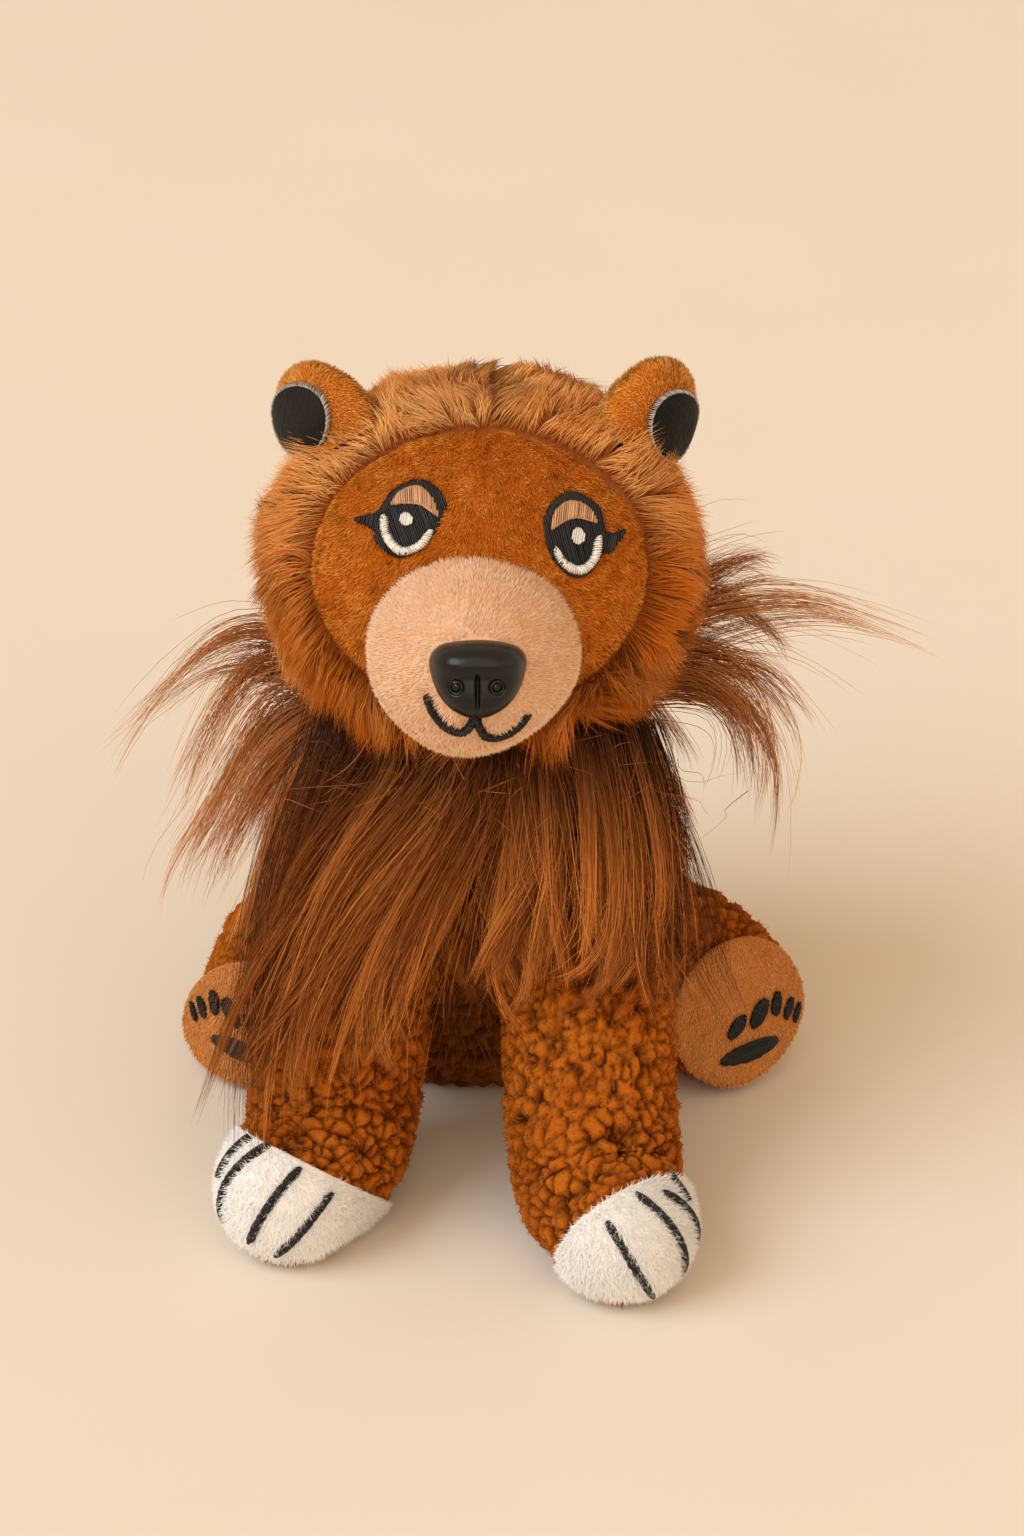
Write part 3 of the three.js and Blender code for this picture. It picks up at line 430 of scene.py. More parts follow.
def pile(name, root, tip, light, roughness):
    """Brushed polyester pile: each fibre's root colour is painted shade, darker down between the fibres,
    and each fibre its own shade.
    """
    made, tree, shader = finish(name, Specular_IOR_Level=0.12)
    along = add(tree, "Attribute", out="Fac", attribute_name="along")
    tint = add(tree, "Attribute", out="Fac", attribute_name="tint")
    shade = add(tree, "Mix", {0: tint, 6: lin(tip), 7: lin(light)}, 2, data_type="RGBA")
    # Painted shade: the root colour darkens each fibre from its root, fading out by six tenths of its
    # length.
    rise = add(tree, "MapRange", {"Value": along, "From Max": 0.6})
    colour = add(tree, "Mix", {0: rise, 6: lin(root), 7: shade}, 2, data_type="RGBA")
    gloss = {"Value": tint, "To Min": roughness + 0.1, "To Max": roughness - 0.1}
    wire(shader, Base_Color=colour, Roughness=add(tree, "MapRange", gloss))
    return made


def napped(name, dark, light, grain, roughness=0.9, sheen=0.3):
    """Cloth under or in a pile: blotches of two shades and a fine grain, its width in millimetres."""
    made, tree, shader = finish(name, Specular_IOR_Level=0.2, Sheen_Weight=sheen, Sheen_Roughness=0.5)
    place = add(tree, "TexCoord", out="Object")
    blotch = add(tree, "TexNoise", {"Vector": place, "Scale": 0.12 / MM, "Detail": 4.0})
    fine = add(tree, "TexNoise", {"Vector": place, "Scale": 1 / (grain * MM), "Detail": 3.0})
    both = add(tree, "Math", {0: blotch, 1: fine}, operation="ADD")
    shade = add(tree, "MapRange", {"Value": both, "From Min": 0.7, "From Max": 1.3})
    colour = add(tree, "Mix", {0: shade, 6: lin(dark), 7: lin(light)}, 2, data_type="RGBA")
    gloss = {"Value": fine, "To Min": roughness - 0.12, "To Max": roughness + 0.1}
    bump = add(tree, "Bump", {"Height": fine, "Strength": 0.7, "Distance": 0.25 * MM})
    wire(shader, Base_Color=colour, Roughness=add(tree, "MapRange", gloss), Normal=bump)
    return made


def sherpa_fleece(name, crease_shade, curl, light):
    """Curled polyester fleece: painted shade darkens it between the curls, warm on them, frayed and matt
    all over.
    """
    soft = {"Sheen_Weight": 0.12, "Sheen_Roughness": 0.5, "Sheen_Tint": lin(light)}
    made, tree, shader = finish(name, Specular_IOR_Level=0.1, **soft)
    place = add(tree, "TexCoord", out="Object")
    height = add(tree, "Attribute", out="Fac", attribute_name="height")
    frayed = {"Vector": place, "Scale": 1 / (0.4 * MM), "Detail": 4.0, "Distortion": 1.0}
    wisps = add(tree, "TexNoise", frayed)
    blotch = add(tree, "TexNoise", {"Vector": place, "Scale": 1 / (9 * MM), "Detail": 2.0})
    mixed = add(tree, "Math", {0: wisps, 1: blotch}, operation="MULTIPLY")
    shade = add(tree, "MapRange", {"Value": mixed, "From Min": 0.12, "From Max": 0.42})
    top = add(tree, "Mix", {0: shade, 6: lin(curl), 7: lin(light)}, 2, data_type="RGBA")
    # Painted shade: where height is low, in the creases, the colour goes to the crease shade.
    colour = add(tree, "Mix", {0: height, 6: lin(crease_shade), 7: top}, 2, data_type="RGBA")
    gloss = add(tree, "MapRange", {"Value": wisps, "To Min": 0.8, "To Max": 1.0})
    bump = add(tree, "Bump", {"Height": wisps, "Strength": 0.8, "Distance": 0.25 * MM})
    wire(shader, Base_Color=colour, Roughness=gloss, Normal=bump)
    return made


def thread(name, dark, light, roughness=0.42, sheen=0.15):
    """Twisted polyester embroidery thread: a soft gloss along each stitch, which has its own shade."""
    made, tree, shader = finish(name, Specular_IOR_Level=0.45, Sheen_Weight=sheen, Sheen_Roughness=0.3)
    place = add(tree, "TexCoord", out="Object")
    tint = add(tree, "Attribute", out="Fac", attribute_name="tint")
    colour = add(tree, "Mix", {0: tint, 6: lin(dark), 7: lin(light)}, 2, data_type="RGBA")
    twist = add(tree, "TexNoise", {"Vector": place, "Scale": 1 / (0.15 * MM), "Detail": 2.0})
    gloss = {"Value": twist, "To Min": roughness - 0.1, "To Max": roughness + 0.15}
    bump = add(tree, "Bump", {"Height": twist, "Strength": 0.4, "Distance": 0.06 * MM})
    wire(shader, Base_Color=colour, Roughness=add(tree, "MapRange", gloss), Normal=bump)
    return made


def moulded_plastic(name, dark, light, roughness, specular=0.5):
    """Moulded plastic with a spark-eroded skin: a broad soft highlight over a very fine orange peel."""
    made, tree, shader = finish(name, IOR=1.53, Specular_IOR_Level=specular)
    place = add(tree, "TexCoord", out="Object")
    skin = add(tree, "TexNoise", {"Vector": place, "Scale": 1 / (0.25 * MM), "Detail": 3.0})
    wear = add(tree, "TexNoise", {"Vector": place, "Scale": 1 / (4 * MM), "Detail": 3.0})
    colour = add(tree, "Mix", {0: wear, 6: lin(dark), 7: lin(light)}, 2, data_type="RGBA")
    gloss = {"Value": wear, "To Min": roughness - 0.06, "To Max": roughness + 0.1}
    bump = add(tree, "Bump", {"Height": skin, "Strength": 0.25, "Distance": 0.05 * MM})
    wire(shader, Base_Color=colour, Roughness=add(tree, "MapRange", gloss), Normal=bump)
    return made


def plated_steel(name, colour):
    """Nickel-plated spring steel: bright, with fine drawing marks and small worn patches."""
    made, tree, shader = finish(name, Metallic=1.0, Base_Color=lin(colour))
    place = add(tree, "TexCoord", out="Object")
    marks = add(tree, "TexNoise", {"Vector": place, "Scale": 1 / (0.4 * MM), "Detail": 5.0})
    gloss = add(tree, "MapRange", {"Value": marks, "To Min": 0.16, "To Max": 0.36})
    bump = add(tree, "Bump", {"Height": marks, "Strength": 0.12, "Distance": 0.05 * MM})
    wire(shader, Roughness=gloss, Normal=bump)
    return made


def grosgrain(name, dark, light):
    """Woven ribbon: ribs across it about half a millimetre apart, darker between them."""
    made, tree, shader = finish(name, Sheen_Weight=0.2)
    rib = add(tree, "Attribute", out="Fac", attribute_name="rib")
    # The colour is darker where rib is low, in the grooves between the ribs that the bump sinks.
    colour = add(tree, "Mix", {0: rib, 6: lin(dark), 7: lin(light)}, 2, data_type="RGBA")
    gloss = add(tree, "MapRange", {"Value": rib, "To Min": 0.85, "To Max": 0.6})
    bump = add(tree, "Bump", {"Height": rib, "Strength": 0.6, "Distance": 0.15 * MM})
    wire(shader, Base_Color=colour, Roughness=gloss, Normal=bump)
    return made


def painted_board(name, colour, shade):
    """Matt painted board: an even pale floor with the faintest cloudiness."""
    made, tree, shader = finish(name, Specular_IOR_Level=0.1)
    place = add(tree, "TexCoord", out="Object")
    cloud = add(tree, "TexNoise", {"Vector": place, "Scale": 1 / (60 * MM), "Detail": 2.0})
    mixed = add(tree, "Mix", {0: cloud, 6: lin(shade), 7: lin(colour)}, 2, data_type="RGBA")
    gloss = add(tree, "MapRange", {"Value": cloud, "To Min": 0.85, "To Max": 0.95})
    wire(shader, Base_Color=mixed, Roughness=gloss)
    return made


# Each pile's first colour, at its roots, is painted shade; the other two are the fibres' own shades.
MANE_HAIR = pile("mane_long_pile", "#341203", "#6e310b", "#e48c40", 0.48)
# Painted light: the wisps' pile is a lighter copy of the mane's, for the light through the thin wisps.
LIT_WISP_HAIR = pile("mane_wisp_pile_painted_light", "#863f0e", "#a85824", "#ecaa68", 0.5)
# Painted shade: the hair under the bib is a darker copy of the mane's, for the shade between its locks.
SHADED_UNDER_HAIR = pile("mane_under_pile_painted_shade", "#1e0a02", "#4e240a", "#8a481a", 0.5)
HEAD_FUR = pile("head_brushed_plush", "#8c430b", "#cc6e1c", "#f6b670", 0.85)
FACE_NAP = pile("face_velboa_pile", "#a24a08", "#d27016", "#f2a448", 0.9)
EAR_NAP = pile("ear_velboa_pile", "#bc6612", "#ea9030", "#fabe70", 0.9)
TAN_NAP = pile("muzzle_short_plush", "#deaa80", "#f0be96", "#fbdec2", 0.9)
SOLE_NAP = pile("sole_velour_pile", "#bc7436", "#da9250", "#f0b880", 0.9)
WHITE_NAP = pile("toe_white_plush", "#f6f2ee", "#fcfaf7", "#fffefd", 0.9)
# Painted shade: the knit under the head's fur is coloured dark, for the shade down between the fibres.
SHADED_HEAD_BACKING = napped("head_knit_backing_painted_shade", "#7a3a0c", "#9c521a", 0.6)
FACE_BACKING = napped("face_velboa_ground", "#a04a08", "#bc6012", 0.4, sheen=0.0)
EAR_BACKING = napped("ear_velboa_ground", "#b05a0e", "#cc721e", 0.4, sheen=0.0)
TAN_BACKING = napped("muzzle_plush_ground", "#e4b28c", "#f0c4a0", 0.45, sheen=0.0)
SOLE_BACKING = napped("sole_velour_ground", "#b46c30", "#cc8444", 0.4, sheen=0.0)
WHITE_BACKING = napped("toe_plush_ground", "#eee8e2", "#f8f4ef", 0.45, sheen=0.0)
BLACK_FELT = napped("ear_wool_felt", "#0f0c0b", "#26211e", 0.35, 0.95, 0.05)
SHERPA_FUZZ = pile("sherpa_loose_fibres", "#7e3c06", "#a85612", "#ce802c", 0.9)
# Painted shade: the torso's and neck's fleece is a darker copy of the legs' sherpa, for the shade under the
# mane and head and between the legs.
SHADED_BODY_FLEECE = sherpa_fleece("body_sherpa_fleece_painted_shade", "#301202", "#743808", "#945012")
SHERPA = sherpa_fleece("leg_sherpa_fleece", "#401800", "#9e4d0a", "#bc681a")
BLACK_THREAD = thread("black_embroidery", "#080606", "#181412", 0.5, 0.0)
WHITE_THREAD = thread("white_embroidery", "#dcd5cc", "#f6f2ec")
LID_THREAD = thread("tan_embroidery", "#b07c50", "#dcb086")
GREY_THREAD = thread("grey_overlock", "#9a938a", "#cfc8be", 0.6)
NOSE_PLASTIC = moulded_plastic("black_moulded_abs", "#050302", "#0c0806", 0.24, 0.3)
WASHER_PLASTIC = moulded_plastic("natural_acetal", "#d4d2cb", "#e6e4de", 0.4)
STEEL = plated_steel("nickel_plated_steel", "#c4c4c0")
RIBBON = grosgrain("brown_grosgrain", "#2a180c", "#5a3a22")
FLOOR = painted_board("matt_beige_board", "#eee4d6", "#ebe0d1")


# Stitching


def satin_line(path, normal, width, seed, pitch=0.34, lift=0.25, slant=0.2):
    """Satin stitches side by side along a line: each runs across it, arched, its ends in the cloth."""
    line = even(np.concatenate([path, normal], 1), pitch)
    path, normal = line[:, :3], unit(line[:, 3:])
    along = unit(np.gradient(path, axis=0))
    across = unit(np.cross(along, normal))
    dice = np.random.default_rng(seed)
    end = np.minimum(1, 0.55 + 0.45 * np.minimum(np.arange(len(path)), np.arange(len(path))[::-1]) / 2)
    half = width / 2 * end * dice.uniform(0.9, 1.1, len(path))
    u = np.array([-1, -0.6, -0.2, 0.2, 0.6, 1])
    out = u[None, :, None] * half[:, None, None] * across[:, None]
    rise = (lift + 0.3) * (1 - np.abs(u) ** 2.5) - 0.3
    stitches = path[:, None] + out + rise[None, :, None] * normal[:, None]
    stitches = stitches + (u * slant)[None, :, None] * along[:, None]
    return fibres(stitches, np.array([0.12, 0.21, 0.22, 0.22, 0.21, 0.1]), dice.random(len(path)), seed)


def satin_bed(edge, place):
    """The layer of thread under a satin fill: the outline in shrinking rings, closed below."""
    middle = edge.mean(0)
    share = np.concatenate([np.linspace(0.02, 0.94, 8), [0.97], np.linspace(0.9, 0.02, 5)])
    lift = np.concatenate([np.zeros(8), [-0.25], np.full(5, -0.5)])
    flat = middle + share[:, None, None] * (edge - middle)[None]
    rings = place(flat[..., 0], flat[..., 1], np.broadcast_to(lift[:, None], flat.shape[:2]))
    points, faces, _ = closed(rings)
    return points, faces, {"along": np.zeros(len(points)), "tint": np.full(len(points), 0.3)}


def satin_fill(edge, angle, place, seed, pitch=0.3, arch=0.25):
    """Satin stitches filling an outline: lines at that angle, cut where they meet it, laid by place().

    place turns flat places and a lift into points; each stitch rises from the cloth, arches and sinks.
    """
    c, s = cos_sin(angle)
    flat = edge @ np.array([[c, -s], [s, c]])
    a, b = flat, np.roll(flat, -1, 0)
    rows = np.arange(flat[:, 1].min() + pitch / 3, flat[:, 1].max(), pitch)[:, None]
    spans = (a[:, 1] > rows) != (b[:, 1] > rows)
    share = (rows - a[:, 1]) / np.where(spans, b[:, 1] - a[:, 1], 1)
    cross = a[:, 0] + share * (b[:, 0] - a[:, 0])
    low = np.where(spans, cross, 1e9).min(1)
    high = np.where(spans, cross, -1e9).max(1)
    kept = high - low > 0.25
    low, high, rows = low[kept], high[kept], rows[kept, 0]
    dice = np.random.default_rng(seed)
    low = low - dice.uniform(-0.05, 0.18, len(low))
    high = high + dice.uniform(-0.05, 0.18, len(low))
    u = np.linspace(0, 1, 8)
    along = low[:, None] + (high - low)[:, None] * u
    across = np.repeat(rows[:, None] + dice.normal(0, 0.03, (len(rows), 1)), 8, 1)
    lift = arch * np.minimum(1, 6 * np.minimum(u, 1 - u)) - 0.15
    points = place(along * c - across * s, along * s + across * c, np.broadcast_to(lift, along.shape))
    width = np.array([0.1, 0.18, 0.19, 0.19, 0.19, 0.19, 0.18, 0.1])
    return joined(fibres(points, width, dice.random(len(rows)), seed), satin_bed(edge, place))


# Soft forms


def limb_rings(stations, side, rows, columns, cap):
    """A round limb: rings about a curve through its stations, a radius at each, with half-ball ends.

    A ring is square to the way from half a station behind it to half a station ahead, so that rings don't
    cross where the limb bends.
    """
    stations = np.asarray(stations, float)
    t = np.linspace(0, len(stations) - 1, rows)
    line = spline(stations, t)
    behind = spline(stations, np.maximum(t - 0.5, 0))
    along = unit((spline(stations, np.minimum(t + 0.5, t[-1])) - behind)[:, :3])
    angle = np.linspace(0.06, 1, cap, endpoint=False) * math.pi / 2
    first, last = line[0, 3], line[-1, 3]
    centre = np.concatenate([
        line[0, :3] - first * np.cos(angle)[:, None] * along[0],
        line[:, :3],
        line[-1, :3] + last * np.cos(angle[::-1])[:, None] * along[-1],
    ])
    radius = np.concatenate([first * np.sin(angle), line[:, 3], last * np.sin(angle[::-1])])
    along = np.concatenate([np.repeat(along[:1], cap, 0), along, np.repeat(along[-1:], cap, 0)])
    across = unit(side - (along @ side)[:, None] * along)
    third = np.cross(across, along)
    phi = circle(columns)
    spoke = np.cos(phi)[:, None] * across[:, None] + np.sin(phi)[:, None] * third[:, None]
    return centre[:, None] + radius[:, None, None] * spoke


def limb_balls(stations, count=70):
    """A limb as a chain of balls on its curve, for finding how deep a point lies in it."""
    stations = np.asarray(stations, float)
    return spline(stations, np.linspace(0, len(stations) - 1, count))


def reach(origin, ways, balls):
    """How far each ray from inside a chain of balls goes: steps as long as the deepest ball allows."""
    gone = np.zeros(len(ways))
    for _ in range(22):
        place = origin + ways * gone[:, None]
        depth = balls[:, 3] - np.linalg.norm(place[:, None] - balls[None, :, :3], axis=2)
        gone = gone + np.maximum(depth.max(1), 0)
    return gone


def curled(rings, seed, height=1.0, curl=2.2, smooth=None):
    """Curled pile on rings: round curls about Worley centres, with creases where two centres are as near.

    A curl is the cap of a ball about its centre; some creases are shallow, so that curls run together,
    and others are pits. smooth, from 0 to 1 at each point, sinks the pile flat, as under another cloth.
    The value height is low down in the creases and off the curls' tops, where it paints the fleece's shade.
    """
    points = rings.reshape(-1, 3)
    bent = points + 0.5 * drifts(points, 1.3, seed + 20) + 1.3 * drifts(points, 3.4, seed + 30)
    near, following, _ = tufts(bent, curl, seed)
    ball = np.sqrt(np.clip(1 - (near / (0.85 * curl)) ** 2, 0, 1))
    depth = 0.62 + 0.38 * ease(drift(points, 1.9, seed + 50), -0.5, 0.4)
    crease = (1 - np.clip((following - near) / (0.4 * curl), 0, 1)) ** 1.6 * depth
    out = 1.15 * ball - 0.65 - 0.85 * crease + 0.25 * drift(points, 3.2, seed + 40)
    out = height * out + 0.08 * drift(points, 0.7, seed + 45) + 0.05 * drift(points, 0.4, seed + 60)
    # Painted shade: the colour's height falls in the creases and down the curls' sides.
    high = np.clip(1.15 - 1.15 * crease - 0.28 * (1 - ball), 0, 1)
    if smooth is not None:
        out = out * (1 - smooth.ravel()) - 1.1 * smooth.ravel()
    moved = points + outward(rings).reshape(-1, 3) * out[:, None]
    return moved.reshape(rings.shape), high.reshape(rings.shape[:2])


def torso_radius(z):
    """Half the torso's width: a quarter ellipse from seat to belly, then a cosine in to the neck."""
    rise = np.sqrt(np.clip(1 - (1 - z / BELLY_AT) ** 2, 0, 1))
    below = SEAT_RADIUS + (BELLY_RADIUS - SEAT_RADIUS) * rise
    fall = np.cos(math.pi / 2 * np.clip((z - BELLY_AT) / (TORSO_TOP - BELLY_AT), 0, 1) ** 1.5)
    above = TOP_RADIUS + (BELLY_RADIUS - TOP_RADIUS) * fall
    return np.where(z < BELLY_AT, below, above)


def torso_lean(z):
    """How far forward the torso's middle leans, by a power of the height."""
    return -TORSO_LEAN * np.clip(z / TORSO_TOP, 0, 1) ** 1.2


def off_torso(points, gap):
    """Points inside the torso, moved straight out from its middle line to a gap off its side."""
    z = points[:, 2]
    flat = np.stack([points[:, 0], (points[:, 1] - torso_lean(z)) / TORSO_DEPTH], 1)
    far = np.linalg.norm(flat, axis=1)
    edge = torso_radius(np.clip(z, 0, TORSO_TOP)) + gap
    grow = np.where((far < edge) & (z < TORSO_TOP + gap), edge / np.maximum(far, 1e-6), 1)
    return np.stack([flat[:, 0] * grow, torso_lean(z) + TORSO_DEPTH * flat[:, 1] * grow, z], 1)


def off_chest(points):
    """Points kept clear of the torso's curled pile."""
    return off_torso(points, gap=0.9)


def off_ball(points, centre, half, gap):
    """Points inside an ellipsoid, moved out along the line from its centre to a gap off it."""
    far = level(points, centre, half + gap)[:, None]
    return np.where(far < 1, centre + (points - centre) / np.maximum(far, 1e-6), points)


def off_balls(points, balls, gap):
    """Points inside a chain of balls, moved out from the ball they are deepest in."""
    away = points[:, None] - balls[None, :, :3]
    far = np.linalg.norm(away, axis=2)
    depth = balls[:, 3] + gap - far
    deepest = depth.argmax(1)
    row = np.arange(len(points))
    way = away[row, deepest] / np.maximum(far[row, deepest], 1e-6)[:, None]
    return points + way * np.maximum(depth[row, deepest], 0)[:, None]


def through_swing(points, pivot, axis, angles, push):
    """Points kept clear of a still neighbour at every angle of a joint: turned, pushed, turned back."""
    for angle in angles:
        way = turn(axis, angle)
        points = (push((points - pivot) @ way.T + pivot) - pivot) @ way + pivot
    return points


def ball_rings(centre, half, pole, angles, columns):
    """Rings of an ellipsoid about a pole: a unit ball's rings at polar angles, stretched and moved."""
    pole = unit(np.asarray(pole, float))
    aside = unit(np.cross(pole, X if abs(pole[0]) < 0.9 else Y))
    third = np.cross(pole, aside)
    phi = circle(columns)
    spoke = np.cos(phi)[:, None] * aside + np.sin(phi)[:, None] * third
    ball = np.cos(angles)[:, None, None] * pole + np.sin(angles)[:, None, None] * spoke
    return centre + ball * half


def short_pile(place, normal, comb, length, width, tint, seed, lean=0.8, sway=0.25, rough=0.4, soft=0.0):
    """Pile fibres at places: out along the normal and over along the comb, with a random sway.

    Each takes the light by its own normal, turned a little by chance and with its neighbours, so that
    the nap shows a fine grain. Soft turns the normals up and forward, because pale pile passes light on
    from fibre to fibre and so shades less from side to side than bare cloth.
    """
    dice = np.random.default_rng(seed)
    comb = unit(along_surface(comb, normal))
    way = unit(normal + lean * comb + sway * dice.normal(size=place.shape))
    long = (length * dice.uniform(0.75, 1.15, len(place)))[:, None]
    paths = np.stack([place, place + way * long], 1)
    face = normal + rough * (0.6 * dice.normal(size=place.shape) + drifts(place, 1.1, seed + 70))
    up_front = np.array([0.1, -0.6, 0.8])
    return fibres(paths, width, tint, seed, unit(face + soft * up_front)[:, None])


# Head


def head_pole(half):
    """The face's axis on the unit ball that stretches to an ellipsoid, and the seam's polar angle."""
    along = FACE_OUT * half
    return unit(along), math.acos(FACE_SEAM / np.linalg.norm(along))


def on_face(u, v, lift):
    """Points on the face: across and up from the head's middle, then out to the ellipsoid, and lifted."""
    half = FACE_HALF + lift[..., None]
    flat = u[..., None] * X + v[..., None] * FACE_UP
    a = ((FACE_OUT / half) ** 2).sum(-1)
    b = (2 * flat * FACE_OUT / half**2).sum(-1)
    c = ((flat / half) ** 2).sum(-1) - 1
    w = (-b + np.sqrt(np.maximum(b * b - 4 * a * c, 0))) / (2 * a)
    return HEAD_AT + flat + w[..., None] * FACE_OUT


def in_muzzle(points, gap):
    """Whether points lie in the muzzle's ellipsoid, grown by a gap."""
    return level(points, MUZZLE_AT, MUZZLE_HALF + gap) < 1


# Stitched outlines on the face: millimetres across and up from the head's middle. A light is a middle and
# half sizes, and an angle is the way of the stitches
EYES = {
    "right": {
        "edge": [(-8.1, 12.5), (-5.9, 11.5), (-4.5, 9.6), (-5.2, 6.4), (-7.5, 3.3), (-10.8, 1.7),
                 (-13.1, 2.7), (-14.5, 5), (-13.5, 8.7), (-11.5, 11.2)],
        "lash": [(-13.4, 8.2), (-15.6, 7.4), (-17.3, 6.8), (-15.4, 5.9), (-13.2, 4.6), (-12.6, 6.4)],
        "lid": [(-12.1, 9.1), (-10.9, 10.9), (-8.4, 11.7), (-6.5, 10.3), (-5.6, 7.7), (-7.3, 8.8),
                (-8.9, 9.2), (-10.6, 9.2)],
        "white": [(-13.2, 7.4), (-12.8, 4.9), (-10.8, 2.9), (-8.1, 3.7), (-6.6, 5.7)],
        "light": (-10, 7.2, 0.85, 0.9),
        "angle": -68,
    },
    "left": {
        "edge": [(12.8, 10.7), (15.7, 9.3), (17.3, 6.6), (17.5, 3.2), (15.9, -0.1), (13.6, -1.2),
                 (11.1, 0.2), (9.4, 3.3), (8.9, 7), (10.3, 9.7)],
        "lash": [(16.6, 5), (18.5, 4.9), (20.3, 5.1), (19.2, 3.4), (17.9, 2), (16.4, 3)],
        "lid": [(9.8, 5.8), (10.5, 8.4), (12.5, 9.6), (15, 8.7), (16.2, 6.5), (14.5, 7), (12.7, 7.1),
                (11.1, 6.5)],
        "white": [(10.4, 3.2), (11.8, 1), (14.1, 0.1), (16, 1.7), (16.5, 4.5)],
        "light": (13.6, 4.8, 0.85, 1.15),
        "angle": -76,
    },
}


def face_place(above):
    """A function from places on the face and a lift to points that much above it, for stitches."""

    def place(u, v, lift):
        return on_face(u, v, lift + above)

    return place


def head_ball():
    """The head's backing behind the face seam: an ellipsoid from the seam to the nape and back inside."""
    pole, seam = head_pole(HEAD_HALF)
    angles = np.linspace(seam - 0.02, math.pi - 0.03, 40)
    skin = ball_rings(HEAD_AT, HEAD_HALF - 0.3, pole, angles, 90)
    inner = ball_rings(HEAD_AT, HEAD_HALF - 1.6, pole, angles[::-1], 90)
    return closed(np.concatenate([skin, inner])[::-1])


def head_fur(count, seed, long=1.0, width=0.082, steps=3):
    """Fur on the head: roots on the ellipsoid behind the seam, brushed over and away from the face.

    At the seam and before the ears it stands up. Over the top it lies back and parts at the middle seam;
    down the sides and under the cheeks, where it is longest, it falls outwards. Its way swirls slowly, and
    it gathers in soft tufts that take the light each its own way. Its colour is lighter over the top by
    painted light and darker underneath by painted shade.
    """
    dice = np.random.default_rng(seed)
    pole, seam = head_pole(HEAD_HALF)
    place = HEAD_AT + unit(dice.normal(size=(count, 3))) * (HEAD_HALF - 0.4)
    ball = (place - HEAD_AT) / (HEAD_HALF - 0.4)
    polar = np.arccos(np.clip(ball @ pole, -1, 1))
    kept = (polar > seam - 0.05) & (ball[:, 2] > -0.97) & ~in_muzzle(place, 0.2)
    kept &= dice.random(count) < 1.25 - 0.65 * ease(polar, seam + 0.6, seam + 1.3)
    place, ball, polar = place[kept], ball[kept], polar[kept]
    normal = unit(ball / HEAD_HALF)
    u = place[:, 0] - HEAD_AT[0]
    radial = unit(u[:, None] * X + ((place - HEAD_AT) @ FACE_UP)[:, None] * FACE_UP)
    low = ease(-ball[:, 2], 0.0, 0.65)
    top = ease(ball[:, 2], 0.2, 0.75)
    side = ease(np.abs(ball[:, 0]), 0.45, 0.9) * (1 - top)
    part = top * np.exp(-((u - SEAM_ACROSS) / 3) ** 2)
    before = [EAR_AT[s] + np.array([-5 * SIDES[s], -5, -1]) for s in SIDES]
    ears = sum(np.exp(-(np.linalg.norm(place - at, axis=1) / 4.5) ** 2) for at in before)
    comb = (0.8 - 0.1 * low)[:, None] * radial - (0.6 - 0.3 * low)[:, None] * FACE_OUT
    comb = comb - (0.6 * side + 0.35 * low)[:, None] * Z
    comb = comb + (0.5 * part * np.sign(u - SEAM_ACROSS))[:, None] * X
    comb = comb + 0.9 * drifts(place, 12, 31) + (0.9 + 0.7 * low)[:, None] * drifts(place, 5.5, 35)
    comb = unit(along_surface(comb, normal))
    lean = 0.55 + 1.0 * ease(polar, seam - 0.05, seam + 0.5) + 0.3 * side + 0.2 * low
    lean = (lean + 0.5 * drift(place, 6, 45)) * (1 - 0.4 * ears)
    length = 5.0 + 1.0 * side + 4.2 * low - 0.8 * part + 1.6 * drift(place, 5, 51) + 2.0 * ears
    length = long * length * dice.uniform(0.7, 1.1, len(place))
    way = unit(normal + comb * lean[:, None] + 0.14 * dice.normal(size=place.shape))
    t = np.linspace(0, 1, steps)
    paths = place[:, None] + way[:, None] * length[:, None, None] * t[:, None]
    for size, share, mix in ((7.0, 0.45, 71), (2.6, 0.3, 75)):
        _, _, centre = tufts(place, size, mix)
        draw = along_surface(centre - place, normal) * (share + 0.25 * low)[:, None]
        paths = paths + draw[:, None] * (t**1.5)[:, None]
    curl = comb * 1.2 - normal * 0.8 - 0.7 * Z + 0.3 * dice.normal(size=place.shape)
    bend = curl[:, None] * (t**2)[:, None] * long
    # Painted light and shade: the fur is lighter over the top of the head and darker underneath.
    shade = 0.18 + 0.45 * top - 0.1 * low + 0.45 * drift(place, 6, 61)
    shade = np.clip(shade + 0.13 * dice.normal(size=len(place)), 0, 1)
    face = normal + 0.12 * dice.normal(size=place.shape)
    face = face + 0.4 * drifts(place, 3, 81) + 0.65 * drifts(place, 7, 85)
    widths = width * np.array([1, 0.9, 0.25])[-steps:]
    return fibres(paths + bend, widths, shade, seed, unit(face)[:, None])


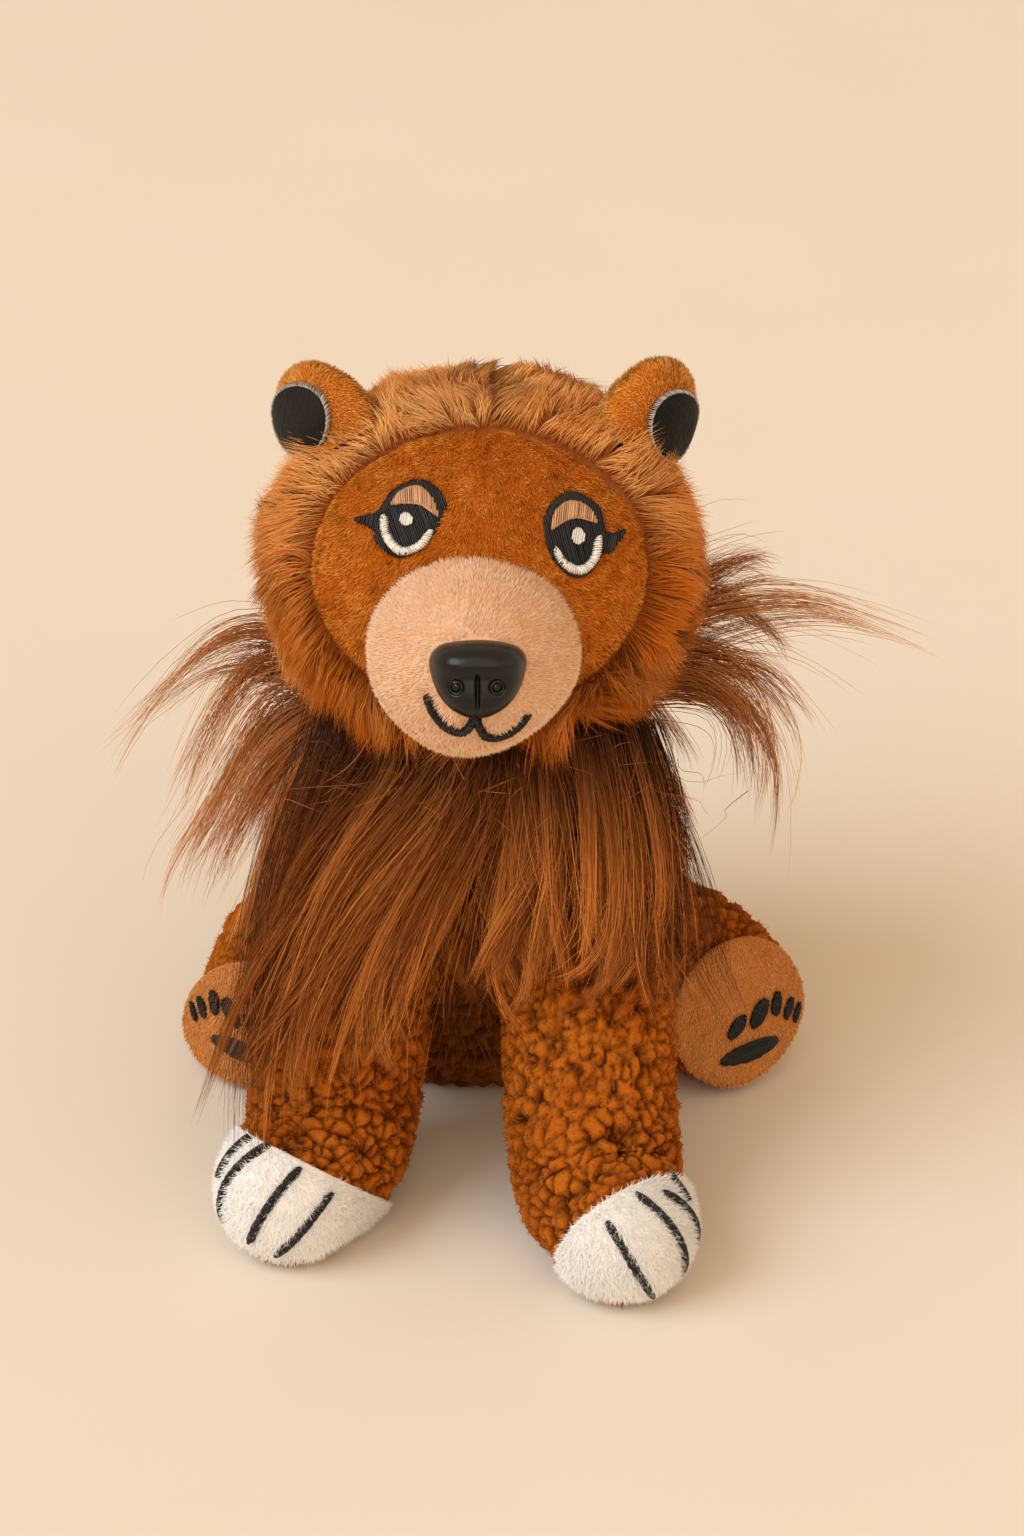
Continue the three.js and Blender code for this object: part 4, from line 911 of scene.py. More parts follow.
def face_bowl():
    """The face panel: an ellipsoid's cap in front of the seam, its rim sunk into the seam, with a dart.

    The dart is a narrow groove down the forehead, and the cloth is drawn in round each eye.
    """
    pole, seam = head_pole(FACE_HALF)
    columns = 110
    angles = np.linspace(0.03, seam, 44)
    skin = ball_rings(HEAD_AT, FACE_HALF, pole, angles, columns)
    inner = ball_rings(HEAD_AT, FACE_HALF - 1.4, pole, angles[::-1], columns)
    points = skin.reshape(-1, 3)
    u = points[:, 0] - HEAD_AT[0]
    v = (points - HEAD_AT) @ FACE_UP
    groove = np.exp(-(((u - SEAM_ACROSS) / 0.45) ** 2)) * ease(v, 8.5, 11)
    rim = np.repeat(ease(angles, seam - 0.05, seam), columns)
    sink = 0.9 * groove + 0.9 * rim - 0.35 * drift(points, 11, 5)
    for eye in EYES.values():
        middle = np.mean(eye["edge"], 0)
        off = np.hypot((u - middle[0]) / 6.4, (v - middle[1]) / 7.6)
        sink = sink + 0.45 * np.exp(-(((off - 1) / 0.16) ** 2))
    skin = (points - ball_normal(points, HEAD_AT, FACE_HALF) * sink[:, None]).reshape(skin.shape)
    return closed(np.concatenate([skin, inner]))


def face_pile(shell, count, seed):
    """Velboa pile on the face: under a millimetre, combed down and outwards, none under the stitching."""
    place, _ = scattered(shell, count, seed)
    u, v = place[:, 0] - HEAD_AT[0], (place - HEAD_AT) @ FACE_UP
    kept = (level(place, HEAD_AT, FACE_HALF) > 0.955) & ~in_muzzle(place, 0.1)
    for eye in EYES.values():
        kept &= ~inside(np.stack([u, v], 1), outline(eye["edge"], 40))
    place, u = place[kept], u[kept]
    normal = ball_normal(place, HEAD_AT, FACE_HALF)
    comb = (u / 14)[:, None] * X - 0.9 * FACE_UP + 0.9 * drifts(place, 5, 15) + 0.5 * drifts(place, 1.2, 18)
    shade = mottled(place, 0.3, 0.2, seed + 1, (0.25, 4, 25), (0.4, 0.9, 28))
    return short_pile(place, normal, comb, NAP, 0.085, shade, seed + 2, lean=1.4, sway=0.3, rough=0.6)


def chin(points):
    """The snout's points below its middle drawn in towards a narrower chin, a little to one side."""
    low = ease((MUZZLE_AT[2] - points[..., 2]) / MUZZLE_HALF[2], 0.15, 1)
    across = (points[..., 0] - MUZZLE_AT[0]) * (1 - 0.14 * low) - 1.3 * low
    return np.concatenate([(MUZZLE_AT[0] + across)[..., None], points[..., 1:]], -1)


def muzzle_ball():
    """The snout: an ellipsoid with a narrower chin, drawn in along the mouth."""
    angles = np.linspace(0.04, math.pi - 0.04, 66)
    rings = chin(ball_rings(MUZZLE_AT, MUZZLE_HALF, -Y, angles, 110))
    points = rings.reshape(-1, 3)
    mouth = mouth_path(lift=0)[0][::4]
    near = np.linalg.norm(points[:, None] - mouth[None], axis=2).min(1)
    sink = 0.7 * np.exp(-((near / 1.3) ** 2)) - 0.25 * drift(points, 8, 9)
    points = points - ball_normal(points, MUZZLE_AT, MUZZLE_HALF) * sink[:, None]
    return closed(points.reshape(rings.shape))


# The mouth's line: millimetres across the muzzle, and degrees of height round it
MOUTH = [(-6.3, 3.2), (-5.4, -6.9), (-3.8, -15.6), (-1.6, -18.7), (-0.4, -14.2), (0.3, -6.9), (1, -15.1),
         (2.1, -22.7), (4.2, -25.9), (6.1, -22.4), (7.5, -13)]


def mouth_path(lift):
    """The mouth's line on the muzzle: across, then round by degrees of height; and the normals there."""
    line = spline(MOUTH, np.linspace(0, len(MOUTH) - 1, 140))
    half = MUZZLE_HALF + lift
    across, pitch = line[:, 0], np.radians(line[:, 1])
    ring = np.sqrt(1 - (across / half[0]) ** 2)
    offset = np.stack([across, -half[1] * ring * np.cos(pitch), half[2] * ring * np.sin(pitch)], 1)
    return chin(MUZZLE_AT + offset), unit(offset / half**2)


def muzzle_pile(shell, count, seed):
    """Short plush on the snout, a little combed back from the nose and tousled, none under the nose."""
    place, _ = scattered(shell, count, seed)
    across, up = (place - NOSE_AT) @ X, (place - NOSE_AT) @ NOSE_UP
    bare = (np.hypot(across / 6.3, up / 4.9) <= 1) & (place[:, 1] <= -46)
    place = place[(level(place, HEAD_AT, FACE_HALF - 0.6) > 1) & ~bare]
    normal = ball_normal(place, MUZZLE_AT, MUZZLE_HALF)
    comb = 1.2 * unit(place - NOSE_AT) - 0.2 * Z + 0.5 * drifts(place, 1.5, 37) + 0.4 * drifts(place, 5, 17)
    shade = mottled(place, 0.34, 0.16, seed + 1, (0.15, 4, 27), (0.36, 1.2, 47))
    lie = {"lean": 1.15, "sway": 0.3, "rough": 0.3, "soft": 0.25}
    return short_pile(place, normal, comb, 0.95, 0.085, shade, seed + 2, **lie)


# The nose's outline, across and up from its middle
NOSE_EDGE = np.array([
    (-6.6, 1.5), (-5.5, 3.5), (-3.3, 4.3), (0.1, 4.6), (3.2, 4.3), (5.6, 3.4), (6.6, 1.5),
    (5.8, -1.9), (4.1, -4.3), (1.8, -5.7), (-0.2, -6), (-2.2, -5.6), (-4.2, -4.3), (-5.8, -1.9),
])


def nose_shell():
    """The moulded nose: its outline shrunk ring by ring over a domed front, with two nostrils and a groove.

    The front rises as a power of the distance in from the edge, a brow stands out above, and each nostril
    is a round dent with a bead in it; a second dome behind closes the nose.
    """
    edge = outline(NOSE_EDGE, 110)
    share = np.concatenate([np.linspace(0.02, 0.9, 40), np.linspace(0.92, 1, 8)])[:, None]
    flat = share[..., None] * edge[None]
    u, v = flat[..., 0], flat[..., 1]
    rise = 3.4 * (1 - share**3.2) ** 0.5 - 0.035 * u**2 * share
    rise = rise + 1.1 * ease(v, -0.6, 1.8) * (1 - share**4)
    for middle in (-2.9, 2.6):
        off = np.hypot(u - middle, v + 1.5)
        rise = rise - 0.6 * ease(-off, -1.3, -0.85) + 0.5 * ease(-off, -0.85, -0.2)
    rise = rise - 0.6 * np.exp(-((u / 0.3) ** 2)) * ease(-v, -0.9, 0.6)
    front = NOSE_AT + u[..., None] * X + v[..., None] * NOSE_UP + rise[..., None] * NOSE_OUT
    flat = share[::-1, :, None] * edge[None] * 0.97
    back = NOSE_AT + flat[..., :1] * X + flat[..., 1:] * NOSE_UP - 0.9 * NOSE_OUT
    curve = -0.045 * flat[..., :1] ** 2 * NOSE_OUT
    return closed(np.concatenate([front, back + curve]))


def ear_frame(side):
    """The turn from an ear's own frame to the bear's: leaned out, then turned to the front."""
    return turn(Z, EAR_YAW[side]) @ turn(Y, SIDES[side] * EAR_LEAN)


def to_ear(points, side):
    """Points given about an ear's hinge, in the bear's frame."""
    return points @ ear_frame(side).T + EAR_AT[side]


def off_head(points):
    """Points kept half a millimetre clear of the head's ellipsoid."""
    return off_ball(points, HEAD_AT, HEAD_HALF, gap=0.5)


def ear_front(x, z, lift, side):
    """Points on the front of an ear's lobe, from places across and up its face."""
    middle = EAR_MIDDLE[side]
    half = EAR_HALF + lift[..., None]
    rest = 1 - ((x - middle[0]) / half[..., 0]) ** 2 - ((z - middle[2]) / half[..., 2]) ** 2
    return np.stack([x, -half[..., 1] * np.sqrt(np.maximum(rest, 0.01)), z], -1)


def ear_lobe(side):
    """A plump lobe: an ellipsoid, a little uneven, that stays off the head all through its flop."""
    angles = np.linspace(0.05, math.pi - 0.05, 44)
    rings = ball_rings(EAR_MIDDLE[side], EAR_HALF, Z, angles, 72)
    points = rings.reshape(-1, 3)
    points = points + unit(points) * (0.3 * drift(points, 5, 3 + SIDES[side]))[:, None]
    swing = ear_frame(side) @ X
    points = through_swing(to_ear(points, side), EAR_AT[side], swing, EAR_FLOPS, off_head)
    return closed(points.reshape(rings.shape))


def ear_pile(shell, side, count, seed):
    """Velboa pile on the lobe, combed out from its face towards its rim, none under the disc."""
    place, _ = scattered(shell, count, seed)
    local = (place - EAR_AT[side]) @ ear_frame(side)
    x, z = DISC_AT[side]
    disc = np.hypot((local[:, 0] - x) / DISC_HALF[0], (local[:, 2] - z) / DISC_HALF[1]) < 0.96
    clear = level(place, HEAD_AT, HEAD_HALF + 0.6) > 1
    kept = clear & ~(disc & (local[:, 1] < 0))
    place, local = place[kept], local[kept]
    normal = ball_normal(local, EAR_MIDDLE[side], EAR_HALF) @ ear_frame(side).T
    comb = (local - np.array([x, 0, z])) @ ear_frame(side).T + 2.5 * drifts(place, 4, 13)
    shade = mottled(place, 0.35, 0.15, seed + 1, (0.3, 3, 23), (0.3, 0.8, 33))
    return short_pile(place, normal, comb, NAP, 0.1, shade, seed + 2, lean=0.9)


def ear_disc(side):
    """A felt disc: rings of an ellipse laid on the lobe's face, crowned, and closed behind."""
    phi = circle(80)
    share = np.concatenate([np.linspace(0.03, 0.94, 24), [0.98, 1.0, 0.99], np.linspace(0.9, 0.03, 12)])
    lift = np.concatenate([0.95 + 0.12 * np.sin(np.linspace(0, 3, 24)), [0.8, 0.5, 0.2], np.full(12, 0.1)])
    x = DISC_AT[side][0] + DISC_HALF[0] * share[:, None] * np.cos(phi)
    z = DISC_AT[side][1] + DISC_HALF[1] * share[:, None] * np.sin(phi)
    rings = ear_front(x, z, np.broadcast_to(lift[:, None], x.shape), side)
    fuzz = 0.09 * drift(rings.reshape(-1, 3), 0.5, 4)
    rings = rings + (np.array([0, -1, 0]) * fuzz[:, None]).reshape(rings.shape)
    return closed(to_ear(rings.reshape(-1, 3), side).reshape(rings.shape))


def ear_edging(side, seed):
    """Overlock edging: slanted thread loops round the disc, each over its edge and into the lobe."""
    count = 110
    u = np.linspace(-1, 1, 7)
    dice = np.random.default_rng(seed)
    angle = circle(count)[:, None] + 0.05 * u + dice.normal(0, 0.008, (count, 1))
    lift = 1.05 - 0.9 * np.clip(u, 0, 1) ** 2 - 0.25 * np.clip(-u, 0, 1) ** 2
    x = DISC_AT[side][0] + (DISC_HALF[0] + 0.22 * u) * np.cos(angle)
    z = DISC_AT[side][1] + (DISC_HALF[1] + 0.22 * u) * np.sin(angle)
    paths = ear_front(x, z, np.broadcast_to(lift, x.shape), side)
    points = to_ear(paths.reshape(-1, 3), side).reshape(paths.shape)
    widths = 0.65 * np.array([0.1, 0.17, 0.18, 0.18, 0.18, 0.16, 0.08])
    return fibres(points, widths, dice.random(count), seed)


def build_eye(side):
    """An eye in satin stitch: black ground and lash, a lid, a white crescent and a round light."""
    eye = EYES[side]
    ground = satin_fill(outline(eye["edge"]), eye["angle"], face_place(0.35), seed=230)
    lash = satin_fill(outline(eye["lash"]), 80, face_place(0.35), seed=231)
    black = joined(ground, lash)
    put(f"{side}_eye_satin", black, BLACK_THREAD, "head", (f"{side}_eye_ground",))
    lid = satin_fill(outline(eye["lid"]), eye["angle"] + 160, face_place(0.75), seed=232)
    put(f"{side}_eyelid_satin", lid, LID_THREAD, "head", (f"{side}_eyelid",))
    line = spline(eye["white"], np.linspace(0, len(eye["white"]) - 1, 60))
    path = on_face(line[:, 0], line[:, 1], np.full(60, 0.75))
    crescent = satin_line(path, ball_normal(path, HEAD_AT, FACE_HALF), width=1.3, seed=233, lift=0.3)
    across, up, wide, high = eye["light"]
    phi = circle(24)
    spot = np.stack([across + wide * np.cos(phi), up + high * np.sin(phi)], 1)
    white = joined(crescent, satin_fill(spot, 80, face_place(0.8), seed=234))
    put(f"{side}_eye_white_satin", white, WHITE_THREAD, "head", (f"{side}_eye_white",))


def build_ear(side):
    """An ear: its lobe and pile, with a felt disc and the disc's edging."""
    body = f"{side}_ear"
    lobe = ear_lobe(side)
    put(f"{side}_ear_lobe", lobe, EAR_BACKING, body, (body,))
    put(f"{side}_ear_pile", ear_pile(lobe, side, count=9000, seed=240), EAR_NAP, body, (body,))
    put(f"{side}_ear_felt", ear_disc(side), BLACK_FELT, body, (f"{side}_ear_disc",))
    edging = ear_edging(side, seed=250)
    put(f"{side}_ear_overlock", edging, GREY_THREAD, body, (f"{side}_ear_edging",))


def build_head():
    """The head's fur, its face with snout, nose, mouth and eyes, and the ears."""
    covers = ("head_cover", "head_stuffing")
    put("head_backing", head_ball(), SHADED_HEAD_BACKING, "head", covers)
    under = head_fur(count=29000, seed=90, long=0.55, width=0.125, steps=2)
    put("head_under_fur", under, HEAD_FUR, "head", ("head_cover",))
    for part in range(4):
        fur = head_fur(count=15500, seed=100 + part)
        put(f"head_fur_{part + 1}", fur, HEAD_FUR, "head", ("head_cover",))
    bowl = face_bowl()
    put("face_panel_cloth", bowl, FACE_BACKING, "head", ("face_panel",))
    velboa = face_pile(bowl, count=67000, seed=200)
    put("face_panel_pile", velboa, FACE_NAP, "head", ("face_panel",))
    snout = muzzle_ball()
    put("muzzle_cloth", snout, TAN_BACKING, "head", ("muzzle_cover",))
    plush = muzzle_pile(snout, count=40000, seed=210)
    put("muzzle_pile", plush, TAN_NAP, "head", ("muzzle_cover",))
    put("moulded_nose", nose_shell(), NOSE_PLASTIC, "head", ("nose",))
    mouth = satin_line(*mouth_path(lift=0.2), width=1.15, seed=220, lift=0.5)
    put("mouth_satin", mouth, BLACK_THREAD, "head", ("mouth_stitching",))
    for side in SIDES:
        build_eye(side)
    for side in SIDES:
        build_ear(side)


# Torso and legs


def torso_shell():
    """The torso's egg in rings of height, flat rings closing seat and top, with curled pile."""
    z = np.linspace(0, TORSO_TOP, 74)
    share = np.linspace(0.08, 0.97, 8)
    radius = np.concatenate([SEAT_RADIUS * share, torso_radius(z), TOP_RADIUS * share[::-1]])[:, None]
    height = np.concatenate([np.zeros(8), z, np.full(8, TORSO_TOP)])[:, None]
    phi = circle(160)
    y = torso_lean(height) + TORSO_DEPTH * radius * np.sin(phi)
    rings = np.stack([radius * np.cos(phi), y, height + 0 * phi], -1)
    rings, high = curled(rings, seed=300)
    return closed(above_floor(rings, 0.1), height=high)


def neck_shell():
    """The neck: a ball with a post up into the head, as rings of height with curled pile."""
    z = np.linspace(-8.2, 17, 46)[:, None]
    ball = np.sqrt(np.maximum(NECK_RADIUS**2 - z**2, 0.2))
    radius = np.where(z > 3, np.maximum(ball, POST_RADIUS), ball)
    phi = circle(60)
    rings = np.stack([radius * np.cos(phi), radius * np.sin(phi), z + 0 * phi], -1)
    rings, high = curled(rings + NECK_AT, seed=310, height=0.5)
    return closed(rings, height=high)


def leg_stations(side):
    """A front leg's curve: shoulder, knee, ankle and toe, each with its radius."""
    shoulder, ankle, toe = SHOULDER[side], ANKLE[side], TOE[side]
    knee = shoulder + 0.52 * (ankle - shoulder)
    return [[*place, radius] for place, radius in zip((shoulder, knee, ankle, toe), LEG_RADII)]


def toe_frame(side):
    """A paw's way forward, its outward side and the normal of its cap's seam, tilted down."""
    yaw, slope, _ = TOE_SEAM[side]
    way = turn(Z, SIDES[side] * yaw)
    forward = way @ -Y
    across = way @ X
    return forward, across * SIDES[side], turn(across, slope) @ forward


def torso_fur(shell, count, seed):
    """Brushed fur on the torso, above its seat, combed down and a little outwards."""
    place, _ = scattered(shell, count, seed)
    place = place[place[:, 2] > 10]
    comb = -Z + 0.5 * drifts(place, 6, seed + 5)
    shade = mottled(place, 0.12, 0.2, seed + 1, (0.25, 4, seed + 6))
    made = short_pile(place, away(place), comb, 4.2, 0.11, shade, seed + 2, lean=1.7, sway=0.3)
    above_floor(made[0], 0.3)
    return made


def front_leg(side):
    """A sherpa sleeve: the limb's rings with curled pile, sunk under the toe cap, flat on the floor.

    Under the toes its sole stands out as a narrow rim below the cap, and its upper end is kept off the
    chest through the whole swing of the shoulder.
    """
    rings = limb_rings(leg_stations(side), X, rows=140, columns=210, cap=32)
    _, _, lean = toe_frame(side)
    ahead = (rings - TOE[side]) @ lean + TOE_SEAM[side][2]
    sunk = ease(ahead, -0.4, 0.8)
    rim = ease(ahead, 0, 2) * (1 - ease(rings[..., 2], 1.3, 2.4))
    rings, high = curled(rings, seed=320 + SIDES[side], smooth=sunk * (1 - rim))
    points = rings.reshape(-1, 3)
    points = points + 1.5 * rim.reshape(-1, 1) * unit((points - TOE[side]) * np.array([1, 1, 0]))
    points = through_swing(points, SHOULDER[side], -X, LEG_RAISES, off_chest)
    return closed(above_floor(points, 0.12).reshape(rings.shape), height=high)


def toe_cap(side):
    """A white plush cap: rays from the toe's middle out to the limb, cut flat at the seam behind it."""
    _, _, lean = toe_frame(side)
    balls = limb_balls(leg_stations(side))
    origin = TOE[side] + 0.6 * lean
    angles = np.linspace(0.03, 2.3, 64)
    rings = ball_rings(np.zeros(3), np.ones(3), lean, angles, 100)
    ways = rings.reshape(-1, 3)
    far = reach(origin, ways, balls) + 0.45
    behind = TOE_SEAM[side][2] + 0.9
    back = np.where(ways @ lean < -1e-3, behind / np.maximum(-(ways @ lean), 1e-3), 1e9)
    points = origin + ways * np.minimum(far, back)[:, None]
    points = points + ways * (0.18 * drift(points, 5, 330))[:, None]
    return closed(above_floor(points, 0.7).reshape(rings.shape)), origin


def sherpa_fuzz(shell, count, seed):
    """Loose fibres on the sherpa's curls: short, standing every way off the surface, fewer in the creases.
    """
    place, normal, high = scattered(shell, count, seed, "height")
    dice = np.random.default_rng(seed + 1)
    kept = dice.random(count) < 0.25 + 0.75 * high
    place, normal, high = place[kept], normal[kept], high[kept]
    comb = drifts(place, 1.1, seed + 3) + 0.3 * dice.normal(size=place.shape)
    # Painted shade: fibres are darker where height is low, in the creases.
    shade = np.clip(0.25 + 0.3 * high + 0.25 * dice.normal(size=len(place)), 0, 1)
    made = short_pile(place, normal, comb, 0.8, 0.08, shade, seed + 2, lean=1.1, sway=0.5)
    above_floor(made[0], 0.1)
    return made


def toe_pile(shell, side, origin, count, seed):
    """Short white plush combed forward and down over the toes, none on the floor side or the seam's."""
    place, _ = scattered(shell, count, seed)
    _, _, lean = toe_frame(side)
    place = place[((place - origin) @ lean > -TOE_SEAM[side][2] - 0.8) & (place[:, 2] > 1.2)]
    normal = unit(place - origin)
    comb = 0.7 * lean - 0.8 * Z + 0.6 * drifts(place, 5, 19) + 0.8 * drifts(place, 1.2, 39)
    shade = np.random.default_rng(seed + 1).random(len(place))
    lie = {"lean": 0.6, "sway": 0.5, "rough": 0.2, "soft": 0.7}
    made = short_pile(place, normal, comb, 1.3, 0.075, shade, seed + 2, **lie)
    above_floor(made[0], 0.6)
    return made


# Each claw's two ends: millimetres outwards on the toe, and degrees of height
CLAWS = {
    "right": [((-9.1, 66), (-4.4, -31)), ((-5.4, 63), (-1.2, -18)),
              ((0, 65), (4.8, -23)), ((3.8, 65), (6.4, 20))],
    "left": [((-6, 48), (0.3, -45)), ((-1.2, 59), (4.3, -33)),
             ((2.6, 53), (7.6, -15)), ((5.6, 68), (6.6, 41))],
}


def claw_stitches(side, seed):
    """Claw lines: from place outwards and degree of height on the toe's ball to another, straight between.

    Each is carried out to the cap, bulging a little upwards.
    """
    forward, outwards, _ = toe_frame(side)
    balls = limb_balls(leg_stations(side))
    share = np.linspace(0, 1, 40)[:, None]
    lines = []
    for ends in CLAWS[side]:
        out, height = np.array(ends).T
        height = np.radians(height)
        ring = np.sqrt(LEG_RADII[-1] ** 2 - out**2)
        tip = out[:, None] * outwards + (ring * np.cos(height))[:, None] * forward
        tip = tip + (ring * np.sin(height))[:, None] * Z
        bulge = 0.8 * np.sin(math.pi * share) * Z
        way = unit(tip[0] * (1 - share) + tip[1] * share + bulge)
        path = TOE[side] + way * (reach(TOE[side], way, balls) + 0.75)[:, None]
        lines.append(satin_line(path, way, width=1.35, seed=seed + len(lines), lift=0.5))
    return joined(*lines)


def rear_stations(side):
    """A rear leg's curve: hip, shin and sole, each with its radius; stuffing rounds the shin."""
    hip, sole = HIP[side], SOLE[side]
    shin = np.append(((hip + sole) / 2)[:2], SHIN_HEIGHT)
    return [[*place, radius] for place, radius in zip((hip, shin, sole), REAR_RADII)]


def sole_frame(side):
    """A sole's facing, its way across and its way up."""
    yaw = turn(Z, SIDES[side] * SOLE_YAW)
    across = yaw @ X
    facing = turn(across, -SOLE_TILT) @ (yaw @ -Y)
    return facing, across, np.cross(facing, across)


# Each sole's narrow way in degrees, the shares drawn in and spread, and millimetres down
SOLE_OVAL = {"right": (90, 0.25, 0.0, 2.3), "left": (128, 0.2, 0.1, 0.0)}


def sole_oval(x, y, side):
    """Places on a sole drawn in across its narrow way, spread along its wide way and moved down."""
    angle, draw, spread, drop = SOLE_OVAL[side]
    c, s = cos_sin(angle)
    narrow = -draw * (x * c + y * s)
    wide = spread * (x * s - y * c)
    return x + narrow * c + wide * s, y + narrow * s - wide * c - drop


def rear_leg(side):
    """A stubby sherpa leg: the limb's rings, pressed flat at the sole and floor, kept off the belly.

    Near the sole it narrows to the sole's oval.
    """
    rings = limb_rings(rear_stations(side), Z, rows=70, columns=200, cap=34)
    facing, across, up = sole_frame(side)
    rings, high = curled(rings, seed=340 + SIDES[side])
    points = rings.reshape(-1, 3)
    offset = points - SOLE[side]
    ahead = offset @ facing
    points = points - np.maximum(ahead - 0.3, 0)[:, None] * facing
    x, y = offset @ across, offset @ up
    near = ease(ahead, -11, -1)
    to_x, to_y = sole_oval(x, y, side)
    points = points + (near * (to_x - x))[:, None] * across + (near * (to_y - y))[:, None] * up
    points = through_swing(points, HIP[side], SIDES[side] * Z, HIP_SPREADS, off_chest)
    return closed(above_floor(points, 0.12).reshape(rings.shape), height=high)


def sole_place(side, lift=0.0):
    """A function from places on a sole, outwards and up, to points on its crowned face."""
    facing, across, up = sole_frame(side)

    def place(x, y, raised):
        crown = 1.55 + 0.9 * np.clip(1 - (x**2 + y**2) / 120, 0, 1) + raised + lift
        return SOLE[side] + x[..., None] * across + y[..., None] * up + crown[..., None] * facing

    return place


def sole_pad(side):
    """The velour sole: rings shrunk from the leg's own edge, crowned in front and closed behind."""
    _, across, up = sole_frame(side)
    phi = circle(110)
    way = np.cos(phi)[:, None] * across + np.sin(phi)[:, None] * up
    edge = reach(SOLE[side], way, limb_balls(rear_stations(side))) - 0.2
    rim = ([0.97, 0.995, 1.0, 0.99], [-0.15, -0.45, -0.9, -1.4])
    share = np.concatenate([np.linspace(0.03, 0.93, 30), rim[0], np.linspace(0.9, 0.05, 10)])[:, None]
    depth = np.concatenate([np.zeros(30), rim[1], np.full(10, -1.5)])[:, None]
    x, y = sole_oval(share * edge * np.cos(phi), share * edge * np.sin(phi), side)
    rings = sole_place(side)(x, y, depth + 0.12 * np.sin(3 * phi) * share)
    return closed(above_floor(rings, 0.1))


def sole_pile(shell, side, count, seed):
    """Velour pile on the sole, short and combed down."""
    place, _ = scattered(shell, count, seed)
    facing, _, up = sole_frame(side)
    offset = place - SOLE[side]
    kept = offset @ facing > 0.6
    place, offset = place[kept], offset[kept]
    flat = offset - (offset @ facing)[:, None] * facing
    normal = unit(facing + 0.03 * flat)
    comb = -up + 0.6 * drifts(place, 5, 39) + 0.4 * drifts(place, 1.2, 59)
    shade = mottled(place, 0.4, 0.15, seed + 1, (0.3, 3, 49), (0.25, 0.9, 69))
    made = short_pile(place, normal, comb, 0.7, 0.085, shade, seed + 2, lean=1.0)
    above_floor(made[0], 0.1)
    return made


# Each mark's middle outwards and up, its half sizes, and its turn in degrees
PAW_PRINT = [(-1.1, -4, 5.4, 1.5, 7), (-2.9, 0.4, 1.1, 2.2, -45), (1.2, 1.6, 1.25, 2.6, -38),
             (4.4, 2.4, 0.95, 1.95, -18), (6.5, 1.1, 0.7, 1.8, -28), (7.9, 0, 0.5, 1.6, -26)]


def paw_print(side, seed):
    """Heel pad and five toe marks in satin stitch, each an ellipse turned on the sole."""
    sign = SIDES[side]
    phi = circle(48)
    marks = []
    for out, rise, wide, high, angle in PAW_PRINT:
        c, s = cos_sin(sign * angle)
        x, y = wide * np.cos(phi), high * np.sin(phi)
        edge = np.stack([sign * out + x * c - y * s, rise + x * s + y * c], 1)
        marks.append(satin_fill(edge, sign * angle, sole_place(side, 0.5), seed + len(marks)))
    return joined(*marks)


def build_front_leg(side):
    """A front leg: its sherpa sleeve, and the white cap with the claws."""
    body = f"{side}_front_leg"
    covers = (f"{side}_front_leg_cover", f"{side}_front_leg_stuffing")
    sleeve = front_leg(side)
    put(f"{side}_front_leg_sherpa", sleeve, SHERPA, body, covers)
    fuzz = sherpa_fuzz(sleeve, count=11000, seed=325)
    put(f"{side}_front_leg_fuzz", fuzz, SHERPA_FUZZ, body, covers[:1])
    cap, origin = toe_cap(side)
    put(f"{side}_toe_cap_cloth", cap, WHITE_BACKING, body, (f"{side}_toe_cap",))
    hairs = toe_pile(cap, side, origin, count=16000, seed=350)
    put(f"{side}_toe_cap_pile", hairs, WHITE_NAP, body, (f"{side}_toe_cap",))
    claws = [f"{side}_claw_line_{k}" for k in (1, 2, 3, 4)]
    put(f"{side}_claw_satin", claw_stitches(side, seed=360), BLACK_THREAD, body, claws)


def build_rear_leg(side):
    """A rear leg: its sherpa stub, and the velour sole with the paw print."""
    body = f"{side}_rear_leg"
    covers = (f"{side}_rear_leg_cover", f"{side}_rear_leg_stuffing")
    stub = rear_leg(side)
    put(f"{side}_rear_leg_sherpa", stub, SHERPA, body, covers)
    fuzz = sherpa_fuzz(stub, count=6000, seed=345)
    put(f"{side}_rear_leg_fuzz", fuzz, SHERPA_FUZZ, body, covers[:1])
    pad = sole_pad(side)
    put(f"{side}_sole_cloth", pad, SOLE_BACKING, body, (f"{side}_sole",))
    velour = sole_pile(pad, side, count=8000, seed=370)
    put(f"{side}_sole_pile", velour, SOLE_NAP, body, (f"{side}_sole",))
    marks = [f"{side}_heel_print"] + [f"{side}_toe_print_{k}" for k in (1, 2, 3, 4, 5)]
    put(f"{side}_paw_print_satin", paw_print(side, seed=380), BLACK_THREAD, body, marks)


def build_body():
    """The torso with its brushed fur, the neck and the four legs."""
    torso = torso_shell()
    put("body_sherpa", torso, SHADED_BODY_FLEECE, "torso", ("body_cover", "body_stuffing"))
    put("body_fur", torso_fur(torso, count=10500, seed=305), MANE_HAIR, "torso", ("body_cover",))
    put("neck_sherpa", neck_shell(), SHADED_BODY_FLEECE, "neck", ("neck_stuffing",))
    for side in SIDES:
        build_front_leg(side)
        build_rear_leg(side)


# Mane


